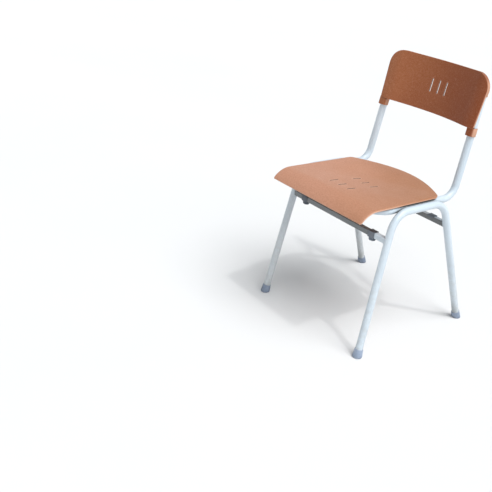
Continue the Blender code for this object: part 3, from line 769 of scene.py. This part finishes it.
def seat_grid(inset, depth):
    columns = edge_columns(SEAT_HALF_W, SEAT_REAR_CORNER_R, 56, 8)
    corner = max(SEAT_REAR_CORNER_R - inset, LEAST_CORNER_R)
    grid = []
    for share in seat_rows():
        row = []
        for column in columns:
            x = column_x(column, corner)
            y0 = seat_front_y(x, inset)
            y1 = seat_rear_y(x, inset)
            row.append(seat_point(x, y0 + (y1 - y0) * share, depth))
        grid.append(row)
    return grid


def locate_on_seat(point):
    """Distance to the top or the under skin, and the top skin's normal."""
    x, y = point.x, point.y
    normal = seat_normal(x, y)
    depth = (seat_z(x, y) - point.z) * normal.z
    if depth > 0.5 * SEAT_T:
        x += normal.x * depth
        y += normal.y * depth
        normal = seat_normal(x, y)
        depth = (seat_z(x, y) - point.z - normal.z * SEAT_T) * normal.z
    return depth, normal


def seat_rims():
    """The inset and depth of each loop round the seat's rounded edge."""
    edge = SEAT_EDGE_R
    upper = []
    lower = []
    for angle in quarter_turn(4)[1:]:
        upper.append((edge * (1.0 - math.sin(angle)), edge * (1.0 - math.cos(angle))))
    for angle in quarter_turn(4)[:-1]:
        depth = SEAT_T - edge * (1.0 - math.sin(angle))
        lower.append((edge * (1.0 - math.cos(angle)), depth))
    return upper + lower


def add_seat_bosses(seat):
    """Bored bosses that stand on the tabs."""
    for side in (1, -1):
        for y in TAB_Y:
            low = rail_z(y) + TAB_RISE + GAP
            top = seat_z(TAB_X, y)
            x = side * TAB_X
            boss = rod("boss", (x, y, low), (x, y, top - 0.5 * SEAT_T), BOSS_R)
            boolean(seat, boss, "UNION")
            bore_top = top - SCREW_LEFT_OVER
            start = (x, y, low - BOSS_BORE_RUN_IN)
            bore = rod("bore", start, (x, y, bore_top), BOSS_HOLE_R, HOLE_SIDES)
            boolean(seat, bore, "DIFFERENCE")


def cut_seat_slots(seat):
    for y in SEAT_SLOT_ROWS:
        normal = seat_normal(0.0, y)
        along = Vector((0.0, normal.z, -normal.y))
        for column in (-1, 0, 1):
            x = column * SEAT_SLOT_PITCH
            centre = Vector((x, y, seat_z(x, y)))
            boolean(seat, slot_cutter(centre, along, normal, SEAT_SLOT_L), "DIFFERENCE")


def make_seat(name):
    grids = (seat_grid(SEAT_EDGE_R, 0.0), seat_grid(SEAT_EDGE_R, SEAT_T))
    loops = [outline_loop(seat_grid(inset, depth)) for inset, depth in seat_rims()]
    seat = sheet_solid(name, grids, loops)
    add_seat_bosses(seat)
    cut_seat_slots(seat)
    set_surface_normals(seat, locate_on_seat)
    return seat


# ----------------------------------------------------------------- backrest

def back_axes():
    """The leaning backrest's own upward and forward directions."""
    up = Vector((0.0, BACK_LEAN, 1.0)).normalized()
    return up, Vector((0.0, -1.0, BACK_LEAN)).normalized()


def back_point(x, s, d):
    up, forward = back_axes()
    return Vector(BACK_ORIGIN) + Vector((x, 0.0, 0.0)) + up * s + forward * d


def tube_x(side, s):
    top = Vector(UPRIGHT_TOP)
    foot = Vector(UPRIGHT_FOOT)
    z = back_point(0.0, s, 0.0).z
    return side * (foot.x + (top.x - foot.x) * (z - foot.z) / (top.z - foot.z))


def back_front_d(x):
    """The front face: hollow in the middle, cresting near each side."""
    x = abs(x)
    bend = BACK_BEND_X
    k = BACK_HOLLOW / (bend * bend + bend * (BACK_CREST_X - bend))
    if x <= bend:
        return BACK_CREST_D - BACK_HOLLOW + k * x * x
    if x <= BACK_CREST_X:
        run = x - bend
        span = BACK_CREST_X - bend
        rise = 2.0 * k * bend * (run - 0.5 * run * run / span)
        return BACK_CREST_D - BACK_HOLLOW + k * bend * bend + rise
    return BACK_CREST_D - BACK_EDGE_CURVE * (x - BACK_CREST_X) ** 2


def back_skin_point(x, s, depth):
    wide_x = x * (1.0 + BACK_WIDENING * s)
    return back_point(wide_x, s, back_front_d(x) - BACK_TILT * s - depth)


def back_bottom_s(x, inset=0.0):
    corner = max(BACK_BOTTOM_CORNER_R - inset, LEAST_CORNER_R)
    return BACK_BOTTOM_S + inset + corner_drop(x, BACK_HALF_W - inset, corner)


def back_top_s(x, inset=0.0):
    corner = BACK_TOP_CORNER_R - inset
    return BACK_TOP_S - inset - corner_drop(x, BACK_HALF_W - inset, corner)


def flange_depth(x, s):
    """The rim's depth, which grows towards the top corners."""
    high = smooth_step((s - FLANGE_START_S) / FLANGE_RISE_S)
    wide = smooth_step((abs(x) - FLANGE_START_X) / FLANGE_RISE_X)
    return FLANGE_MIN + (FLANGE_CORNER - FLANGE_MIN) * (high * wide)


def back_grid(inset, depth, from_flange=False):
    columns = edge_columns(BACK_HALF_W, BACK_TOP_CORNER_R, 60, 26)
    rows = 33
    grid = []
    for r in range(rows):
        row = []
        for column in columns:
            x = column_x(column, BACK_TOP_CORNER_R - inset)
            s0 = back_bottom_s(x, inset)
            s1 = back_top_s(x, inset)
            s = s0 + (s1 - s0) * r / (rows - 1)
            back = flange_depth(x, s) - depth if from_flange else depth
            row.append(back_skin_point(x, s, back))
        grid.append(row)
    return grid


def collar_ring(side, s, radius, front_d):
    """Half a circle behind the upright, and a square front with round corners."""
    centre_x = tube_x(side, s)
    ring = []
    for i in range(25):
        angle = math.pi * (1.0 + i / 24)
        ring.append(back_point(centre_x + radius * math.cos(angle), s, radius * math.sin(angle)))
    corner = COLLAR_CORNER_SHARE * radius
    for quarter, hand in ((0, 1), (1, -1)):
        for i in range(9):
            angle = 0.5 * math.pi * (quarter + i / 8)
            a = (radius - corner) * hand + corner * math.cos(angle)
            b = front_d - corner + corner * math.sin(angle)
            ring.append(back_point(centre_x + a, s, b))
    return ring


def sleeve(side, levels, front_d):
    rings = [collar_ring(side, s, radius, front_d) for s, radius in levels]
    return new_object("sleeve", *bridge(rings, closed=False))


def locate_on_back(point):
    """Distance to the front or the back skin, and the front skin's normal."""
    up, forward = back_axes()
    away = point - Vector(BACK_ORIGIN)
    s = away.dot(up)
    x = away.x / (1.0 + BACK_WIDENING * s)
    step = 0.0010
    slope = (back_front_d(x + step) - back_front_d(x - step)) / (2.0 * step)
    normal = (forward - Vector((slope, 0.0, 0.0)) + up * BACK_TILT).normalized()
    depth = back_front_d(x) - BACK_TILT * s - away.dot(forward)
    if depth > 0.5 * BACK_T:
        depth -= BACK_T
    return depth, normal


def back_rims():
    """The loops round the backrest's front edge and its flange."""
    loops = []
    for angle in quarter_turn(4)[1:]:
        inset = BACK_EDGE_R * (1.0 - math.sin(angle))
        depth = BACK_EDGE_R * (1.0 - math.cos(angle))
        loops.append(outline_loop(back_grid(inset, depth)))
    for angle in quarter_turn(3):
        inset = FLANGE_EDGE_R * (1.0 - math.cos(angle))
        depth = FLANGE_EDGE_R * (1.0 - math.sin(angle))
        loops.append(outline_loop(back_grid(inset, depth, from_flange=True)))
    inner = back_grid(FLANGE_W - FLANGE_EDGE_R, 0.0, from_flange=True)
    return loops + [outline_loop(inner)]


def collar_levels():
    low, high = COLLAR_S
    lower = [
        (low, COLLAR_R - COLLAR_EDGE_R),
        (low + COLLAR_EDGE_MIDDLE, COLLAR_R - COLLAR_EDGE_MIDDLE),
        (low + COLLAR_EDGE_R, COLLAR_R),
    ]
    upper = [
        (high - COLLAR_EDGE_R, COLLAR_R),
        (high - COLLAR_EDGE_MIDDLE, COLLAR_R - COLLAR_EDGE_MIDDLE),
        (high, COLLAR_R - COLLAR_EDGE_R),
    ]
    return lower + upper


def socket_levels():
    low, high = SOCKET_S
    levels = [(low, SOCKET_R - SOCKET_EDGE_R), (low + SOCKET_EDGE_R, SOCKET_R)]
    for angle in quarter_turn(6):
        s = high - SOCKET_DOME_H * (1.0 - math.sin(angle))
        levels.append((s, SOCKET_R - SOCKET_DOME_INSET * (1.0 - math.cos(angle))))
    return levels


def add_back_fixings(panel, side):
    """The collar and the blind socket that take one upright, and the rivet's hole."""
    boolean(panel, sleeve(side, collar_levels(), COLLAR_FRONT_D), "UNION")
    boolean(panel, sleeve(side, socket_levels(), SOCKET_FRONT_D), "UNION")
    top, down = upright_axis(side)
    bore = rod("bore", top - down * GAP, top + down * BACK_BORE_L, TUBE_R + GAP)
    boolean(panel, bore, "DIFFERENCE")
    centre = back_point(tube_x(side, RIVET_S), RIVET_S, 0.0)
    out = -back_axes()[1]
    inner = centre + out * (0.4 * TUBE_R)
    outer = centre + out * RIVET_HOLE_REACH
    hole = rod("hole", inner, outer, RIVET_R + GAP, RIVET_HOLE_SIDES)
    boolean(panel, hole, "DIFFERENCE")


def cut_back_slots(panel):
    low, high = BACK_SLOT_S
    for column in (-1, 0, 1):
        centre = back_skin_point(column * BACK_SLOT_PITCH, 0.5 * (low + high), 0.0)
        normal = locate_on_back(Vector((0.0, centre.y, centre.z)))[1]
        along = normal.cross(Vector((1.0, 0.0, 0.0))).normalized()
        boolean(panel, slot_cutter(centre, along, normal, high - low), "DIFFERENCE")


def make_backrest(name):
    grids = (back_grid(BACK_EDGE_R, 0.0), back_grid(FLANGE_W, BACK_T))
    panel = sheet_solid(name, grids, back_rims())
    for side in (1, -1):
        add_back_fixings(panel, side)
    cut_back_slots(panel)
    set_surface_normals(panel, locate_on_back)
    return panel


# ---------------------------------------------------------------- materials

class Nodes:
    """A material's node tree, with short calls to add and join nodes."""

    def __init__(self, name, **sockets):
        self.material = bpy.data.materials.new(name)
        self.material.use_nodes = True
        self.tree = self.material.node_tree
        self.shader = self.tree.nodes["Principled BSDF"]
        for key, value in sockets.items():
            self.shader.inputs[key.replace("_", " ")].default_value = value
        coordinates = self.add("ShaderNodeTexCoord")
        self.where = coordinates.outputs["Object"]
        self.facing = coordinates.outputs["Normal"]

    def add(self, kind, **settings):
        node = self.tree.nodes.new(kind)
        for key, value in settings.items():
            setattr(node, key, value)
        return node

    def join(self, source, target):
        self.tree.links.new(source, target)

    def noise(self, scale, detail=3.0, roughness=0.5, distortion=0.0):
        node = self.add("ShaderNodeTexNoise")
        node.inputs["Scale"].default_value = scale
        node.inputs["Detail"].default_value = detail
        node.inputs["Roughness"].default_value = roughness
        node.inputs["Distortion"].default_value = distortion
        self.join(self.where, node.inputs["Vector"])
        return node.outputs["Fac"]

    def cells(self, scale):
        node = self.add("ShaderNodeTexVoronoi", feature="SMOOTH_F1")
        node.inputs["Scale"].default_value = scale
        node.inputs["Smoothness"].default_value = 0.6
        self.join(self.where, node.inputs["Vector"])
        return node.outputs["Distance"]

    def remap(self, source, low, high, to_low=0.0, to_high=1.0):
        node = self.add("ShaderNodeMapRange")
        node.inputs["From Min"].default_value = low
        node.inputs["From Max"].default_value = high
        node.inputs["To Min"].default_value = to_low
        node.inputs["To Max"].default_value = to_high
        self.join(source, node.inputs["Value"])
        return node.outputs["Result"]

    def math(self, operation, a, b):
        node = self.add("ShaderNodeMath", operation=operation)
        for socket, value in zip(node.inputs, (a, b)):
            if isinstance(value, (int, float)):
                socket.default_value = value
            else:
                self.join(value, socket)
        return node.outputs[0]

    def mix(self, factor, a, b):
        """a where the factor is 0 and b where it is 1; each a colour or a socket."""
        node = self.add("ShaderNodeMix", data_type="RGBA")
        factor_socket, a_socket, b_socket = (node.inputs[i] for i in (0, 6, 7))
        self.join(factor, factor_socket)
        for socket, value in ((a_socket, a), (b_socket, b)):
            if isinstance(value, tuple):
                socket.default_value = (*value, 1.0)
            else:
                self.join(value, socket)
        return node.outputs[2]

    def tint(self, base, colour, mask, amount):
        """The base, with up to amount of a colour where the mask is 1."""
        return self.mix(self.math("MULTIPLY", mask, amount), base, colour)

    def blotched(self, tones, scale, detail=4.0, low=0.32, high=0.68):
        """Two tones in soft blotches."""
        return self.mix(self.remap(self.noise(scale, detail), low, high), *tones)

    def axis(self, letter, source=None):
        node = self.add("ShaderNodeSeparateXYZ")
        self.join(source or self.where, node.inputs[0])
        return node.outputs[letter]

    def edge_wear(self):
        """1 along convex edges, 0 on flats and in hollows."""
        pointy = self.add("ShaderNodeNewGeometry").outputs["Pointiness"]
        return self.remap(pointy, 0.515, 0.56)

    def occlusion_shade(self, reach, low, high):
        """Painted shade from ambient occlusion: 1 in hollows and sheltered places within reach, 0
        in the open.
        """
        node = self.add("ShaderNodeAmbientOcclusion", samples=12)
        node.inputs["Distance"].default_value = reach
        return self.remap(node.outputs["AO"], high, low)

    def far_side_shade(self, amount):
        """Painted shade: amount at the right and rear legs, which lie in the seat's shade, fading
        to 0 at the front left leg.
        """
        behind = self.math("MULTIPLY", self.axis("Y"), 0.8)
        across = self.math("SUBTRACT", self.axis("X"), behind)
        return self.remap(across, 0.12, -0.05, 0.0, amount)

    def colour(self, source):
        self.join(source, self.shader.inputs["Base Color"])

    def uneven_roughness(self, scale, low, high, detail=4.0, grain=0.5):
        """Roughness that drifts between low and high."""
        rubbing_and_top_light = self.noise(scale, detail, grain)
        self.join(self.remap(rubbing_and_top_light, 0.30, 0.70, low, high), self.shader.inputs["Roughness"])

    def bump(self, height, strength, distance):
        node = self.add("ShaderNodeBump")
        node.inputs["Strength"].default_value = strength
        node.inputs["Distance"].default_value = distance
        self.join(height, node.inputs["Height"])
        self.join(node.outputs["Normal"], self.shader.inputs["Normal"])


def paint_material(name, occlusion_shade, open_shade=0.0, shade_to_x=1.0, lit_top=0.0):
    """White powder coat: faint orange peel, grime low down, painted shade where sheltered
    and on the far legs.

    A bar under the seat gets painted shade all along, up to a given x on the sitter's left,
    and its upper face can keep some of that painted shade off, a painted light from above.
    """
    m = Nodes(name, IOR=1.5, Coat_Weight=0.25, Coat_Roughness=0.22)
    base = m.mix(m.remap(m.noise(9.0, 4.0, 0.55), 0.35, 0.65), *PAINT_TONES)
    height = m.axis("Z")
    # Painted shade on the legs at the sitter's right and the rear, strongest towards the floor
    far_shade = m.math("MULTIPLY", m.far_side_shade(0.50), m.remap(height, 0.46, 0.08))
    base = m.mix(far_shade, base, PAINT_FAR_SHADE)
    low_down = m.remap(height, 0.34, 0.02)
    grime = m.math("MULTIPLY", low_down, m.remap(m.noise(60.0, 5.0, 0.65), 0.42, 0.72))
    base = m.tint(base, PAINT_GRIME, grime, 0.48)
    scuff = m.remap(m.noise(170.0, 2.0, 0.5, distortion=1.2), 0.735, 0.765)
    base = m.tint(base, PAINT_SCUFF, scuff, 0.30)
    # Painted shade where the paint is sheltered, and on a bar under the seat all along
    painted_shade = m.remap(m.occlusion_shade(*occlusion_shade), 0.0, 1.0, open_shade, 0.92)
    if shade_to_x < 1.0:
        under_seat = m.remap(m.axis("X"), shade_to_x + 0.004, shade_to_x)
        painted_shade = m.math("MULTIPLY", painted_shade, under_seat)
    # Painted light from above: the bar's upper face keeps less of the painted shade
    if lit_top > 0.0:
        rubbing_and_top_light = m.remap(m.axis("Z", m.facing), 0.60, 0.90, 1.0, 1.0 - lit_top)
        painted_shade = m.math("MULTIPLY", painted_shade, rubbing_and_top_light)
    m.colour(m.mix(painted_shade, base, PAINT_SHADE))
    m.uneven_roughness(45.0, 0.30, 0.44, grain=0.6)
    m.bump(m.noise(900.0, 2.0, 0.45), 0.16, 0.00025)
    return m.material


def moulded_plastic(name, tones, rim_and_highlight, light_drift, grain_scale, gloss):
    """Moulded plastic: a pebbled grain, a painted sheen and light that drift across, paler rims,
    painted highlights on the outward sides and painted shade in the slots.
    """
    m = Nodes(name, IOR=1.46, Specular_IOR_Level=gloss)
    near, lit_tone = tones
    backward, start, end = light_drift
    # Painted sheen and light: a lighter tone towards the sitter's right and the front
    along = m.math("ADD", m.axis("X"), m.math("MULTIPLY", m.axis("Y"), backward))
    along = m.math("ADD", along, m.math("MULTIPLY", m.noise(6.5), 0.20))
    base = m.mix(m.remap(along, start + 0.10, end + 0.10), near, lit_tone)
    mottle = m.noise(240.0, 2.0, 0.55)
    deep = tuple(0.80 * c for c in near)
    base = m.tint(base, deep, m.remap(mottle, 0.50, 0.72), 0.36)
    base = m.tint(base, rim_and_highlight, m.remap(mottle, 0.48, 0.28), 0.12)
    base = m.tint(base, rim_and_highlight, m.remap(m.noise(620.0, 3.0, 0.6), 0.52, 0.78), 0.30)
    base = m.tint(base, rim_and_highlight, m.edge_wear(), 0.55)
    # Painted highlight on the faces turned outwards, where the side light falls
    outward_highlight = m.math("MULTIPLY", m.axis("X", m.facing), m.axis("X"))
    base = m.tint(base, rim_and_highlight, m.remap(outward_highlight, 0.12, 0.165), 0.60)
    # Painted shade inside the slots and other tight hollows
    slot_shade = tuple(0.12 * c for c in near)
    m.colour(m.mix(m.occlusion_shade(0.010, 0.50, 0.92), base, slot_shade))
    m.uneven_roughness(14.0, 0.42, 0.56, grain=0.6)
    pebble = m.math("SUBTRACT", 1.0, m.cells(grain_scale))
    fine = m.math("MULTIPLY", m.noise(1.6 * grain_scale, 3.0, 0.6), 0.7)
    m.bump(m.math("ADD", pebble, fine), 0.26, 0.00030)
    return m.material


def foot_material():
    """A soft blue-grey cap, scuffed near the floor and pale at its edges, with painted shade on
    the caps at the sitter's right and the rear.
    """
    m = Nodes("blue_grey_cap", IOR=1.46)
    base = m.blotched(FOOT_TONES, 70.0)
    near_floor = m.remap(m.axis("Z"), 0.010, 0.001)
    scuffed = m.math("MULTIPLY", near_floor, m.remap(m.noise(380.0, 4.0), 0.38, 0.62))
    base = m.tint(base, FOOT_SCUFF, scuffed, 0.7)
    base = m.tint(base, FOOT_EDGE, m.edge_wear(), 0.45)
    # Painted shade on the caps at the sitter's right and the rear
    m.colour(m.mix(m.far_side_shade(0.45), base, FOOT_FAR_SHADE))
    m.uneven_roughness(120.0, 0.46, 0.66)
    m.bump(m.noise(1300.0), 0.25, 0.00025)
    return m.material


def bumper_material():
    """Dark slate plastic with paler edges, painted shade where it is sheltered and on the far
    bumpers.
    """
    m = Nodes("slate_bumper", IOR=1.46)
    base = m.blotched(BUMPER_TONES, 90.0)
    base = m.tint(base, BUMPER_EDGE, m.edge_wear(), 0.5)
    # Painted shade on the far bumpers, and under the seat where they are sheltered
    base = m.mix(m.far_side_shade(0.55), base, BUMPER_FAR_SHADE)
    m.colour(m.tint(base, BUMPER_SHADE, m.occlusion_shade(0.14, 0.35, 0.98), 0.85))
    m.uneven_roughness(150.0, 0.48, 0.68)
    m.bump(m.noise(1500.0), 0.30, 0.00025)
    return m.material


def zinc_material():
    """Zinc-plated steel, for screws and rivets."""
    m = Nodes("bright_zinc", Metallic=1.0)
    m.colour(m.blotched(ZINC_TONES, 300.0, low=0.3, high=0.7))
    m.uneven_roughness(420.0, 0.24, 0.44)
    m.bump(m.noise(1800.0, 2.0), 0.15, 0.00015)
    return m.material


def floor_material():
    m = Nodes("pale_floor", Roughness=0.9, Specular_IOR_Level=0.1)
    m.colour(m.blotched(FLOOR_TONES, 0.8, 3.0, low=0.3, high=0.7))
    return m.material


# Painted shade on every paint where it is sheltered; on the bars under the seat it lies all along
PAINT = paint_material("white_powder_coat", (0.14, 0.20, 0.66))
BAR_OCCLUSION_SHADE = (0.20, 0.35, 0.95)
# The bars' paints are shaded copies of the white powder coat, with painted shade all along
FRONT_BAR_SHADED_PAINT = paint_material("front_bar_shaded_powder_coat", BAR_OCCLUSION_SHADE, 0.80, shade_to_x=0.152)
REAR_BAR_SHADED_PAINT = paint_material("rear_bar_shaded_powder_coat", BAR_OCCLUSION_SHADE, 0.84, lit_top=0.50)
SEAT_PLASTIC = moulded_plastic("seat_plastic", SEAT_TONE_AND_SHEEN, SEAT_RIM_AND_HIGHLIGHT, SEAT_LIGHT_DRIFT, 620.0, 0.5)
BACK_PLASTIC = moulded_plastic("back_plastic", BACK_TONE_AND_LIGHT, BACK_RIM_AND_HIGHLIGHT, BACK_LIGHT_DRIFT, 700.0, 0.25)
FOOT = foot_material()
BUMPER = bumper_material()
ZINC = zinc_material()


# ------------------------------------------------------------------- pieces

def dress(item, material, slot, *replaced):
    """Give a new piece its material, attach it and hide any CAD node it replaces; slot is not
    used.
    """
    item.data.materials.clear()
    item.data.materials.append(material)
    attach(item, "root")
    if replaced:
        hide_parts(*replaced)


def make_pieces():
    dress(make_seat("seat_moulding"), SEAT_PLASTIC, "seat", "seat_shell")
    dress(make_backrest("back_moulding"), BACK_PLASTIC, "backrest", "back_panel")
    dress(make_hoop("hoop_tube"), PAINT, "frame", "back_hoop")
    front_bar = make_crossbar("bar_front", FRONT_BAR_Y, True)
    rear_bar = make_crossbar("bar_rear", REAR_BAR_Y, False)
    dress(front_bar, FRONT_BAR_SHADED_PAINT, "frame", "crossbar_front")
    dress(rear_bar, REAR_BAR_SHADED_PAINT, "frame", "crossbar_rear")
    for side, label in ((1, "left"), (-1, "right")):
        dress(make_leg_frame(f"leg_tube_{label}", side), PAINT, "frame", f"leg_frame_{label}")
        make_leg_end(side, f"front_{label}", FRONT_BAR_Y, True)
        make_leg_end(side, f"rear_{label}", REAR_BAR_Y, False)
        for place, y in zip(("front", "rear"), RAIL_WELDS_Y):
            dress(rail_weld(f"rail_weld_{place}_{label}", side, y), PAINT, "frame")
        paint_node(f"back_rivet_{label}", ZINC)


def make_leg_end(side, end, bar_y, is_front):
    """One leg's cap, bumper and weld, and the looks of its seat tab and screw."""
    dress(make_foot_cap(f"cap_{end}", side, is_front), FOOT, "foot", f"foot_cap_{end}")
    bumper = make_bumper(f"clip_{end}", side, bar_y, is_front)
    dress(bumper, BUMPER, "bumper", f"bumper_{end}")
    dress(bar_weld(f"bar_weld_{end}", side, bar_y, is_front), PAINT, "frame")
    paint_node(f"seat_tab_{end}", REAR_BAR_SHADED_PAINT)
    paint_node(f"seat_screw_{end}", ZINC)


def paint_node(name, material):
    """Give a CAD node that stays visible its material."""
    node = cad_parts[name]
    node.data.materials.clear()
    node.data.materials.append(material)


# ---------------------------------------------------------- floor and light

def make_floor():
    """A round pale floor that curves up to a low wall far behind everything."""
    profile = [(radius, 0.0) for radius in (*FLOOR_RINGS, COVE_START)]
    for angle in quarter_turn(COVE_STEPS)[1:]:
        out = COVE_START + COVE_R * math.sin(angle)
        profile.append((out, COVE_R * (1.0 - math.cos(angle))))
    rings = []
    for radius, height in profile:
        ring = [(radius * math.cos(a), -radius * math.sin(a), height) for a in turns(FLOOR_SIDES)]
        rings.append(ring)
    points, faces = bridge(rings, closed=False)
    open_faces = faces[:-2]
    mesh = bpy.data.meshes.new("studio_floor")
    mesh.from_pydata(points, [], open_faces)
    mesh.shade_smooth()
    floor = bpy.data.objects.new("studio_floor", mesh)
    bpy.context.scene.collection.objects.link(floor)
    floor.data.materials.append(floor_material())


def add_sun(name, place, strength, spread):
    """A light from far away; a wide spread makes it a soft box."""
    data = bpy.data.lights.new(name, "SUN")
    data.energy = strength
    data.angle = math.radians(spread)
    lamp = bpy.data.objects.new(name, data)
    bpy.context.scene.collection.objects.link(lamp)
    lamp.location = place
    lamp.rotation_mode = "QUATERNION"
    lamp.rotation_quaternion = (-Vector(place)).to_track_quat("-Z", "Y")


def make_sky():
    """An even fill that is stronger on the sitter's left and above."""
    world = bpy.data.worlds.new("studio")
    bpy.context.scene.world = world
    world.use_nodes = True
    tree = world.node_tree
    where = tree.nodes.new("ShaderNodeTexCoord").outputs["Generated"]
    facing = tree.nodes.new("ShaderNodeVectorMath")
    facing.operation = "DOT_PRODUCT"
    facing.inputs[1].default_value = SKY_BRIGHT_SIDE
    tree.links.new(where, facing.inputs[0])
    strength = tree.nodes.new("ShaderNodeMapRange")
    limits = (*SKY_RANGE, *SKY_STRENGTH)
    for key, value in zip(("From Min", "From Max", "To Min", "To Max"), limits):
        strength.inputs[key].default_value = value
    tree.links.new(facing.outputs["Value"], strength.inputs["Value"])
    background = tree.nodes["Background"]
    background.inputs["Color"].default_value = SKY
    tree.links.new(strength.outputs["Result"], background.inputs["Strength"])


def make_lights():
    """Soft light from above on the sitter's left, and a low even fill."""
    make_sky()
    for name, (place, strength, spread) in SUNS.items():
        add_sun(name, place, strength, spread)


def make_camera():
    """A view from the sitter's front left, looking down, with a small roll."""
    azimuth = math.radians(CAMERA_AZIMUTH)
    elevation = math.radians(CAMERA_ELEVATION)
    roll = math.radians(CAMERA_ROLL)
    back = Vector((
        math.sin(azimuth) * math.cos(elevation),
        -math.cos(azimuth) * math.cos(elevation),
        math.sin(elevation),
    ))
    right = (-back).cross(Vector((0, 0, 1))).normalized()
    up = right.cross(-back)
    turned_right = right * math.cos(roll) + up * math.sin(roll)
    turned_up = up * math.cos(roll) - right * math.sin(roll)
    data = bpy.data.cameras.new("camera")
    data.sensor_width = CAMERA_SENSOR
    data.lens = CAMERA_LENS
    data.clip_start = CAMERA_CLIP_START
    camera = bpy.data.objects.new("camera", data)
    bpy.context.scene.collection.objects.link(camera)
    turn = Matrix((turned_right, turned_up, back)).transposed().to_4x4()
    camera.matrix_world = Matrix.Translation(CAMERA_PLACE) @ turn
    bpy.context.scene.camera = camera


make_pieces()
make_floor()
make_lights()
make_camera()
bpy.context.scene.view_settings.view_transform = "Standard"
